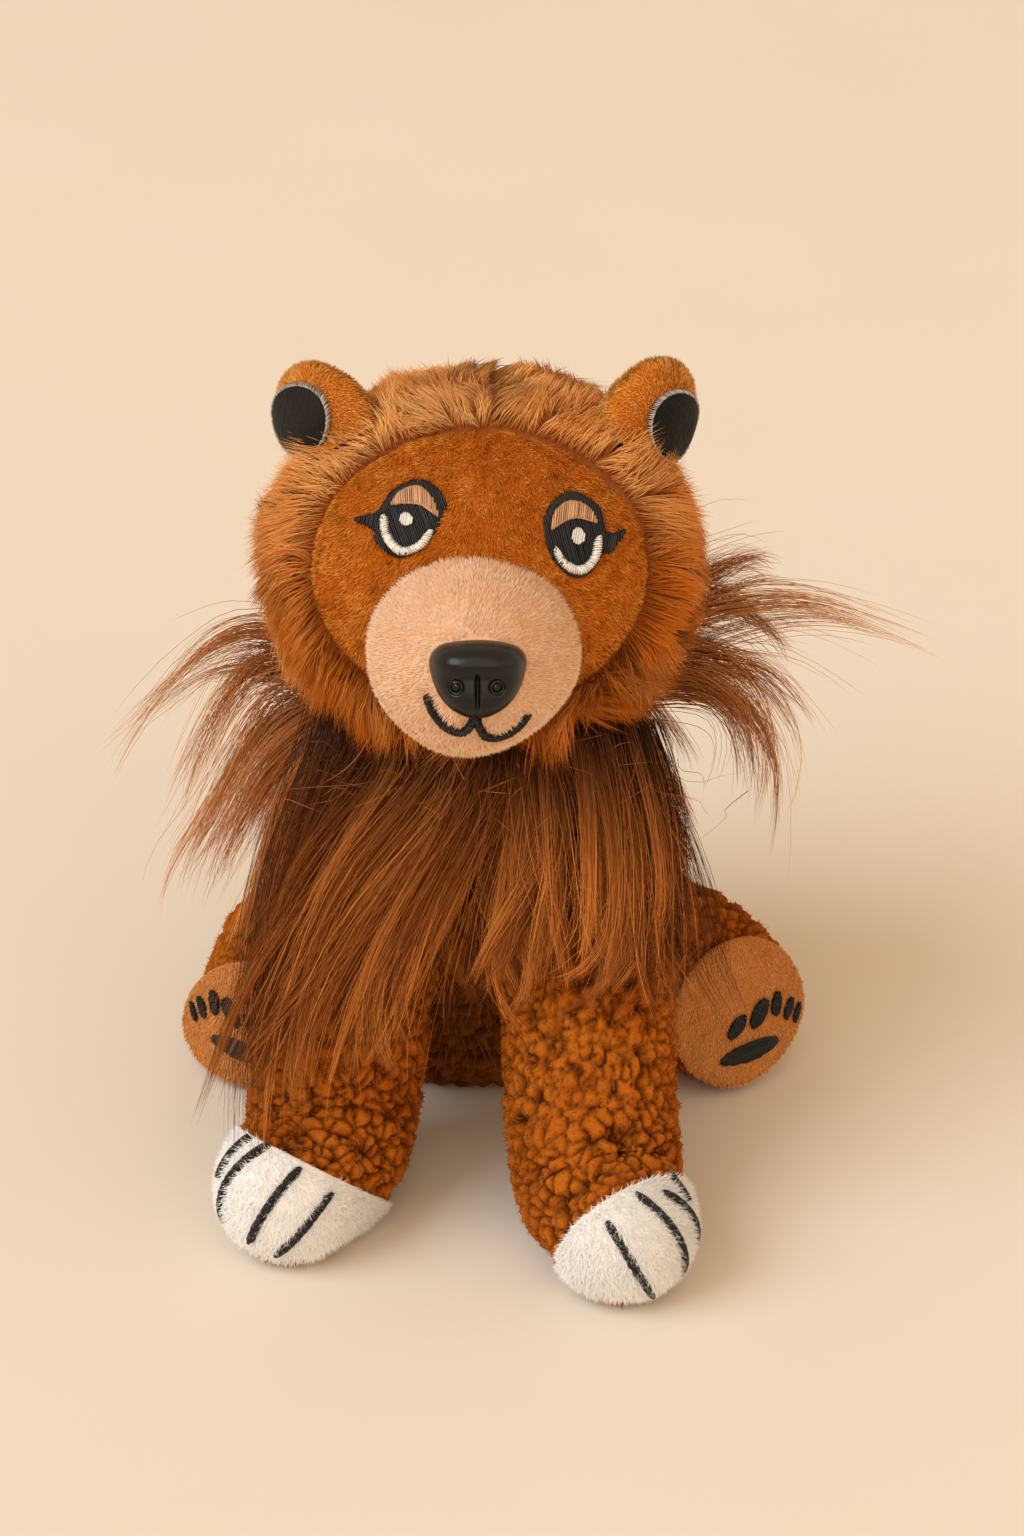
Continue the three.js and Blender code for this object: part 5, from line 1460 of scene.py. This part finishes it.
def clear_hair(paths):
    """Hair kept outside the head, the snout, the torso and both front legs."""
    points = off_ball(paths.reshape(-1, 3), HEAD_AT, HEAD_HALF, gap=0.6)
    points = off_ball(points, MUZZLE_AT, MUZZLE_HALF, gap=0.8)
    points = off_torso(points, gap=1.2)
    for side in SIDES:
        points = off_balls(points, limb_balls(leg_stations(side), count=40), gap=1.3)
    return points.reshape(paths.shape)


def stretch(paths, share):
    """Each path cut to a share of its parameter, its steps spread over what is left."""
    steps = paths.shape[1]
    at = share[:, None] * np.arange(steps)
    i = np.minimum(at.astype(int), steps - 2)
    f = (at - i)[..., None]
    row = np.arange(len(paths))[:, None]
    return paths[row, i] * (1 - f) + paths[row, i + 1] * f


# Guides of the bib's locks from the bear's right to its left: across and up at six stations each
BIB_LOCKS = np.array([
    [(-25, 68), (-29, 57), (-31, 45), (-32, 33), (-33, 22), (-33, 15)],
    [(-18, 66), (-24, 58), (-28, 46), (-31, 33), (-32, 22), (-33, 16)],
    [(-11, 66), (-19, 60), (-25, 49), (-29, 37), (-31, 26), (-33, 18)],
    [(-7, 66), (-14, 59), (-21, 50), (-26, 39), (-28, 30), (-30, 22)],
    [(-3, 66), (-10, 58), (-17, 48), (-23, 37), (-25, 29), (-26, 22)],
    [(0, 65), (-7, 56), (-13, 46), (-17, 37), (-19, 31), (-21, 26)],
    [(3, 65), (-3, 53), (-8, 44), (-13, 37), (-16, 31), (-18, 27)],
    [(4, 65), (-1, 55), (-3, 47), (-3, 40), (-1, 35), (2, 32)],
    [(6, 65), (4, 54), (2, 47), (2, 42), (4, 38), (6, 36)],
    [(10, 64), (9, 56), (8, 50), (8, 45), (7, 41), (5, 37)],
    [(13, 64), (13, 58), (13, 52), (12, 47), (12, 43), (11, 39)],
    [(17, 65), (18, 58), (18, 52), (18, 47), (18, 43), (16, 40)],
    [(21, 65), (23, 58), (24, 51), (24, 46), (23, 42), (25, 38)],
    [(25, 64), (26, 58), (27, 50), (28, 44), (28, 39), (26, 36)],
    [(27, 66), (29, 58), (30, 50), (30, 44), (29, 40), (27, 37)],
], float)


# Guides of the wisps at each side, at six stations each
WISPS = {
    "right": [
        [(-24, -8, 70), (-33, -8, 74), (-38, -9, 72), (-42, -10, 70), (-52, -12, 60), (-57, -13, 52)],
        [(-23, -8, 68), (-32, -9, 70), (-35, -11, 67), (-38, -13, 64), (-43, -16, 54), (-45, -18, 46)],
        [(-21, -10, 65), (-30, -12, 64), (-35, -18, 56), (-40, -20, 47), (-44, -21, 40), (-46, -22, 32)],
        [(-19, -15, 64), (-26, -18, 62), (-31, -20, 57), (-35, -22, 50), (-38, -23, 42), (-41, -23, 34)],
        [(-17, -20, 64), (-24, -24, 60), (-29, -27, 53), (-33, -29, 46), (-35, -30, 38), (-37, -30, 31)],
    ],
    "left": [
        [(25, -6, 73), (34, -6, 76), (45, -6, 79), (55, -5, 77), (66, -4, 72), (78, -3, 65)],
        [(25, -6, 70), (35, -7, 69), (39, -8, 68), (43, -8, 67), (49, -9, 60), (52, -9, 53)],
        [(25, -7, 68), (34, -7, 68), (41, -8, 64), (46, -8, 56), (46, -8, 45), (44, -8, 32)],
        [(24, -8, 67), (32, -9, 68), (38, -9, 66), (41, -10, 60), (42, -10, 53), (41, -11, 46)],
        [(25, -2, 76), (31, -2, 78), (35, -2, 80), (40, -2, 83), (44, -2, 83), (47, -2, 81)],
        [(25, -4, 74), (31, -4, 78), (36, -4, 79), (43, -5, 76), (48, -6, 71), (51, -6, 65)],
    ],
}


def along_locks(locks, steps):
    """Each lock's stations as a smooth line of that many steps."""
    stations = np.moveaxis(np.asarray(locks, float), 1, 0)
    return np.moveaxis(spline(stations, np.linspace(0, len(stations) - 1, steps)), 1, 0)


def drape(flat, lift):
    """Places across and up laid on the front of the torso, neck and legs, a lift off them.

    From before the toes backwards, the first depth that lies within the lift of any of them is taken, or
    one at the chest where none does, and the depths along each lock are evened out.
    """
    depths = np.arange(-85, -20, 0.5)
    x, y, z = np.broadcast_arrays(flat[..., :1], depths, flat[..., 1:])
    points = np.stack([x, y, z], -1).reshape(-1, 3)
    balls = np.concatenate([limb_balls(leg_stations(side), count=40) for side in SIDES])
    legs = (np.linalg.norm(points[:, None] - balls[None, :, :3], axis=2) - balls[:, 3]).min(1)
    far = np.hypot(points[:, 0], (points[:, 1] - torso_lean(points[:, 2])) / TORSO_DEPTH)
    torso = np.maximum(0.8 * (far - torso_radius(points[:, 2])), points[:, 2] - TORSO_TOP)
    neck = (level(points, NECK_AT, np.array([20, 20, 14])) - 1) * 12
    close = np.minimum(np.minimum(legs, torso), neck).reshape(x.shape) < lift
    close[..., -20] = True
    depth = depths[close.argmax(-1)]
    for _ in range(2):
        depth[:, 1:-1] = (depth[:, :-2] + 2 * depth[:, 1:-1] + depth[:, 2:]) / 4
    return np.stack([flat[..., 0], depth, flat[..., 1]], -1)


def away(points):
    """The way out from the torso's leaning middle line, tilted a little up."""
    middle = torso_lean(points[..., 2]) - 3
    return unit(np.stack([points[..., 0], points[..., 1] - middle, np.full(points.shape[:-1], 8.0)], -1))


def forward(points):
    """The way that the wisps' hair faces, for its light: forward, up and a little aside."""
    return np.broadcast_to(unit(np.array([-0.2, -0.75, 0.65])), points.shape)


def coat_locks(angles, lift):
    """Locks that lie on the torso: from under the head out over it and down, at angles round it from +X."""
    a = np.radians(angles)[:, None]
    z = np.array([75, 67, 57, 48, 41, 35.0])
    far = np.array([19, 23.5, 0, 0, 0, 0]) + np.where(z < 60, torso_radius(np.minimum(z, 62)) + 2.5, 0)
    far = far + lift * np.array([0, 0.3, 0.9, 1, 0.9, 0.6])
    middle = torso_lean(np.minimum(z, TORSO_TOP))
    return np.stack([far * np.cos(a), middle + TORSO_DEPTH * far * np.sin(a), z + 0 * a], -1)


def hair(
    lines, strands, seed, face=away, wide=1.9, deep=0.7, tip=0.12, wave=1.0,
    wild=0.05, short=0.72, bright=0.0,
):
    """Long fibres in locks about lines: spread across a lock, less through it, and closing to its tip.

    Each lock waves aside by two sines. Each strand has its own finer wave and its own share of the
    length, and a few fly off. Their normals turn with their place across the lock, so that a lock takes
    the light as a round one, and each lock and each strand has its own shade.

    wide and deep are a lock's spread in millimetres and tip the share of it left at the end. wave is how
    far locks wave, wild the share of strays, short the least share of the length, and bright a lighter
    shade painted on as light.
    """
    locks, steps, _ = lines.shape
    dice = np.random.default_rng(seed)
    t = np.linspace(0, 1, steps)
    out = face(lines)
    side = unit(np.cross(np.gradient(lines, axis=1), out))
    phase = dice.uniform(0, 2 * math.pi, (locks, 2, 1))
    swing = np.sin(2 * math.pi * np.array([[0.6], [1.3]]) * t + phase) * np.array([[1.5], [0.6]])
    lines = lines + wave * (swing.sum(1) * t)[..., None] * side
    count = locks * strands
    pick = np.repeat(np.arange(locks), strands)
    stray = dice.random((count, 1)) < wild
    across = np.clip(dice.normal(size=(count, 1)), -2, 2)
    through = np.clip(dice.normal(size=(count, 1)), -2, 2)
    close = tip + (1 - tip) * (1 - t**1.6)
    fly = np.where(stray, 2.2, 0) * t**1.4
    turns = dice.uniform(0.7, 2.4, (2, count, 1))
    start = dice.uniform(0, 6, (2, count, 1))
    ripple = np.sin(2 * math.pi * turns * t + start) * np.where(stray, 1.3, 0.55) * t
    aside = across * (wide * close + fly) + ripple[0]
    lifted = through * (deep * close + 0.7 * fly) + 0.7 * ripple[1]
    paths = lines[pick] + aside[..., None] * side[pick] + lifted[..., None] * out[pick]
    normal = unit(out[pick] + 0.7 * across[..., None] * side[pick] + 0.3 * dice.normal(size=(count, 1, 3)))
    paths = stretch(paths, dice.uniform(short, 1, count) * dice.uniform(0.82, 1, locks)[pick])
    first = paths[:, :1]
    for _ in range(2):
        paths = clear_hair(paths)
        middle = (paths[:, :-2] + 2 * paths[:, 1:-1] + paths[:, 2:]) / 4
        paths = np.concatenate([first, middle, paths[:, -1:]], 1)
    paths = above_floor(clear_hair(paths), 0.3)
    # Painted light: bright lightens the locks on top, the loose hairs and the coat.
    shade = 0.6 * dice.random(locks)[pick] ** 1.8 + 0.5 * dice.random(count) ** 2.2 + bright
    return fibres(paths, np.linspace(0.064, 0.026, steps), np.clip(shade, 0, 1), seed, normal)


def bib_lines(locks, low, high, seed, lift, steps=10):
    """Lines of the bib's locks: between neighbouring guides, started up under the head, lifted by chance.

    Each has its own way aside and its own slope, and its end hooks a little, as brushed pile does.
    """
    dice = np.random.default_rng(seed)
    guides = spline(drape(BIB_LOCKS, lift=4.4), np.sort(dice.uniform(low, high, locks)))
    root = guides[:, :1] * np.array([0.88, 1, 1]) + np.array([0, 6.5, 6])
    lines = along_locks(np.concatenate([root, guides], 1), steps)
    t = np.linspace(0, 1, steps)[:, None]
    rise = dice.uniform(*lift, (locks, 1, 1)) * unit(np.array([0, -0.8, 0.6]))
    aside = dice.normal(0, 1.8, (locks, 1, 1)) * X
    slope = dice.normal(0, 5.5, (locks, 1, 1)) * (t - 0.35) * X
    hook = dice.normal(0, 4.2, (locks, 1, 1)) * (X - 0.3 * Z) * np.clip((t - 0.55) / 0.45, 0, 1) ** 2
    return lines + (rise + aside) * np.sin(math.pi * np.minimum(0.85, 0.15 + t)) + slope + hook


def frizz(count, seed):
    """Loose short hairs under the chin: each leaves its root any way across and winds like a sine."""
    dice = np.random.default_rng(seed)
    root = np.array([0, -36, 65.0]) + dice.normal(size=(count, 3)) * np.array([12, 2, 2.5])
    way = unit(dice.normal(size=(count, 3)) * np.array([1, 0.35, 0.45]) + np.array([0, -0.3, -0.25]))
    steps = 8
    t = np.linspace(0, 1, steps)[:, None]
    long = dice.uniform(7, 17, (count, 1, 1))
    paths = root[:, None] + way[:, None] * long * t
    turns = dice.uniform(0.5, 1.6, (count, 1, 1)) * 2 * math.pi
    winding = np.sin(turns * t + dice.uniform(0, 6, (count, 1, 1)))
    paths = clear_hair(paths + 1.3 * winding * unit(dice.normal(size=(count, 1, 3))))
    return fibres(paths, np.linspace(0.06, 0.025, steps), dice.uniform(0.2, 1, count), seed, away(paths))


def wisp_lines(locks, count, seed, steps=12):
    """Several lines about each wisp: side by side at its root and drawn together towards its end."""
    dice = np.random.default_rng(seed)
    lines = np.repeat(along_locks(locks, steps), count, 0)
    t = np.linspace(0, 1, steps)[:, None]
    root = dice.normal(size=(len(lines), 1, 3)) * np.array([1.6, 1.5, 3.0])
    end = dice.normal(size=(len(lines), 1, 3)) * np.array([1.3, 0.8, 1.3])
    return lines + root * (1 - t) + end * t**1.5


def veil_lines(locks, count, seed, steps=10):
    """Lines spread by chance over the fan between the wisps."""
    dice = np.random.default_rng(seed)
    guides = spline(np.asarray(locks, float), np.sort(dice.uniform(0, len(locks) - 1, count)))
    return along_locks(guides, steps) + dice.normal(size=(count, 1, 3)) * np.array([1.2, 1.5, 1.5])


# The bib's stretches, by the places of their first and last guides in the list
BIB_STRETCHES = {"right": (0.2, 5.4), "middle": (5.2, 8.8), "left": (8.6, 14)}


def bib_layer(locks, strands, seed, span, lift, **look):
    """A layer of hair on the bib: locks on a span of its guides, raised by chance between two lifts."""
    return hair(bib_lines(locks, *span, seed, lift), strands, seed + 5, **look)


def bib_bend(side):
    """The leg's body, and two points from the shoulder to below it, given with the hair before a leg."""
    start = SHOULDER[side] + np.array([0, -10, 6])
    end = SHOULDER[side] + 0.3 * (ANKLE[side] - SHOULDER[side]) + np.array([0, -12, 0])
    return f"{side}_front_leg", start, end


def build_bib():
    """The bib in three stretches across: before the right leg, between the legs and before the left leg.

    The hair that lies before a leg rides on no body. Each stretch has hair underneath coloured dark as
    painted shade, then its main locks, and on top locks and loose hairs made lighter by painted light. The
    outermost guides carry the hair underneath alone.
    """
    for k, (part, span) in enumerate(BIB_STRETCHES.items()):
        share = (span[1] - span[0]) / (len(BIB_LOCKS) - 1)
        inner = (max(span[0], 1.6), min(span[1], 13.4))
        look = {"wide": 2.6, "tip": 0.5}
        under = bib_layer(round(38 * share), strands=32, seed=400 + k, span=span, lift=(0.2, 2.2), **look)
        look = {"wide": 1.35, "wave": 2.8, "tip": 0.16}
        main = bib_layer(round(31 * share), strands=104, seed=410 + k, span=inner, lift=(1.0, 5.0), **look)
        look = {"wide": 1.0, "deep": 0.6, "wave": 3.0, "wild": 0.12, "bright": 0.12}
        top = bib_layer(round(18 * share), strands=42, seed=420 + k, span=inner, lift=(3.0, 6.0), **look)
        look = {"wide": 2.6, "deep": 1.0, "tip": 1, "wave": 2.5, "wild": 0.3, "bright": 0.15}
        loose = bib_layer(round(60 * share), strands=8, seed=430 + k, span=inner, lift=(2.0, 6.5), **look)
        cover = joined(main, top, loose)
        bend = bib_bend(part) if part in SIDES else None
        name = f"mane_bib_{part}"
        put(f"{name}_under_hair", under, SHADED_UNDER_HAIR, "torso", ("mane_bib",), bend=bend)
        put(f"{name}_hair", cover, MANE_HAIR, "torso", ("mane_bib",), bend=bend)


# The coat under each tuft: its first and last angle round the torso, and its lift
COATS = {"right": (230, 140, 2.5), "left": (-50, 40, 1.0)}


def build_tuft(side):
    """The hair at one side of the neck: wisps that stand out, a veil between them and a coat below."""
    lines = wisp_lines(WISPS[side], count=4, seed=421, steps=10)
    tight = hair(lines, strands=28, seed=420, face=forward, wide=1.0, wave=0.6, wild=0.12, short=0.55)
    look = {"wide": 2.2, "deep": 1.4, "tip": 0.8, "wave": 1.5, "wild": 0.3, "short": 0.25}
    veil = hair(veil_lines(WISPS[side], count=28, seed=424), strands=13, seed=425, face=forward, **look)
    first, last, lift = COATS[side]
    lines = along_locks(coat_locks(np.linspace(first, last, 18), lift), steps=7)
    coat = hair(lines, strands=34, seed=430, wide=2.4, tip=0.4, short=0.5, bright=0.15)
    name = f"mane_{side}_tuft"
    put(f"{name}_wisps", joined(tight, veil), LIT_WISP_HAIR, "torso", (name,))
    put(f"{name}_coat", coat, MANE_HAIR, "torso", (name,))


def build_mane():
    """The bib with loose hairs above it, the two side tufts and the hair behind."""
    build_bib()
    put("mane_bib_frizz", frizz(count=200, seed=419), MANE_HAIR, "torso", ("mane_bib",))
    for side in SIDES:
        build_tuft(side)
    lines = along_locks(coat_locks(np.linspace(30, 150, 32), lift=7.5), steps=8)
    cape = hair(lines, strands=27, seed=440, wide=2.4, tip=0.4)
    put("mane_cape_hair", cape, MANE_HAIR, "torso", ("mane_cape",))


# Key ring and ribbon


def split_ring():
    """A split ring: a flat wire wound twice round, stepping half its depth to each side as it goes."""
    theta = np.linspace(0, 4 * math.pi - 0.35, 260)[:, None]
    step = 0.56 * np.tanh((theta - 2 * math.pi) / 0.5)
    phi = circle(20)
    out = RING_RADIUS + 0.8 * squarer(np.cos(phi), 0.5)
    y = step + 0.5 * squarer(np.sin(phi), 0.5)
    return closed(RING_AT + np.stack([out * np.sin(theta), y, out * np.cos(theta)], -1))


def ribbon_loop():
    """The hanging ribbon: a flat band carried out from the head, round the ring's wire and back.

    The value rib is a sine of its length, for the weave.
    """
    pitch = 0.16
    rib_spacing = 0.55
    loop_radius = 2.55
    angle = np.radians(np.linspace(150, -150, 60))
    loop = loop_radius * np.stack([np.cos(angle), np.sin(angle)], 1)
    tail = np.linspace(-8.5, -2.9, 24)
    there = np.stack([tail, np.full(24, 0.47)], 1)
    back = np.stack([tail[::-1], np.full(24, -0.47)], 1)
    line = even(np.concatenate([there, loop, back]), pitch)
    along = unit(np.gradient(line, axis=0))
    normal = np.stack([-along[:, 1], along[:, 0]], 1)
    phi = circle(24)
    wide = 3 * squarer(np.cos(phi), 0.35)
    thick = 0.4 * squarer(np.sin(phi), 0.6)
    y = line[:, :1] + normal[:, :1] * thick
    z = line[:, 1:] + normal[:, 1:] * thick
    rings = EYELET_AT + np.stack([np.repeat(wide[None], len(line), 0), y, z], -1)
    rib = 0.5 + 0.5 * np.sin(np.arange(len(line)) * pitch / rib_spacing * 2 * math.pi)
    return closed(rings, rib=np.repeat(rib[:, None], 24, 1))


def build_hanging():
    """The key ring and its ribbon, and the finish of the washer inside the head."""
    put("key_split_ring", split_ring(), STEEL, "key_ring", ("key_ring",))
    put("grosgrain_ribbon", ribbon_loop(), RIBBON, "head", ("hanging_ribbon",))
    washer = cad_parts["nose_lock_washer"]
    washer.data.materials.clear()
    washer.data.materials.append(WASHER_PLASTIC)


# Studio


def sun(name, towards, energy, angle, colour):
    """A broad distant lamp whose light comes from a direction."""
    lamp = bpy.data.lights.new(name, "SUN")
    lamp.energy = energy
    lamp.angle = math.radians(angle)
    lamp.color = lin(colour)[:3]
    made = bpy.data.objects.new(name, lamp)
    bpy.context.scene.collection.objects.link(made)
    aim = -unit(np.array(towards))
    made.rotation_euler = (math.acos(-aim[2]), 0, math.atan2(aim[1], aim[0]) - math.pi / 2)


FLOOR_HALF = 3000.0
CAMERA_AT = np.array([5.6, -484.97, 326.6])
CAMERA_TILT = 60
LENS = 85


def build_studio():
    """A wide matt floor, a soft key lamp, a softer fill and bounce, a warm surround and a camera.

    What the camera and reflections see past the floor is a pale backdrop of the floor's own shade.
    """
    square = ((-1, -1), (1, -1), (1, 1), (-1, 1))
    slab = np.array([[[sx * FLOOR_HALF, sy * FLOOR_HALF, z] for sx, sy in square] for z in (-5.0, 0.0)])
    put("floor", closed(slab), FLOOR, None)
    scene = bpy.context.scene
    scene.view_settings.view_transform = "Standard"
    world = bpy.data.worlds.new("surround")
    scene.world = world
    world.use_nodes = True
    tree = world.node_tree
    surround = tree.nodes["Background"]
    surround.inputs["Color"].default_value = lin("#ffd9ac")
    surround.inputs["Strength"].default_value = 0.56
    backdrop = add(tree, "Background", {"Color": lin("#f3ddc4"), "Strength": 1.0})
    rays = add(tree, "LightPath").node.outputs
    seen = add(tree, "Math", {0: rays["Is Camera Ray"], 1: rays["Is Glossy Ray"]}, operation="MAXIMUM")
    seen = add(tree, "Math", {0: seen, 1: rays["Is Transmission Ray"]}, operation="MAXIMUM")
    mixed = add(tree, "MixShader", {0: seen, 1: surround.outputs[0], 2: backdrop})
    tree.links.new(mixed, tree.nodes["World Output"].inputs["Surface"])
    sun("key", (-0.75, -0.4, 0.8), energy=1.72, angle=40, colour="#e8f5ff")
    sun("fill", (0.0, -0.9, 0.6), energy=1.15, angle=80, colour="#fff1de")
    sun("bounce", (0.9, -0.35, 0.25), energy=0.32, angle=70, colour="#fff2e2")
    lens = bpy.data.cameras.new("camera")
    lens.lens = LENS
    camera = bpy.data.objects.new("camera", lens)
    scene.collection.objects.link(camera)
    camera.location = tuple(CAMERA_AT * MM)
    camera.rotation_euler = (math.radians(CAMERA_TILT), 0, 0)
    scene.camera = camera


build_studio()
build_hanging()
build_head()
build_body()
build_mane()
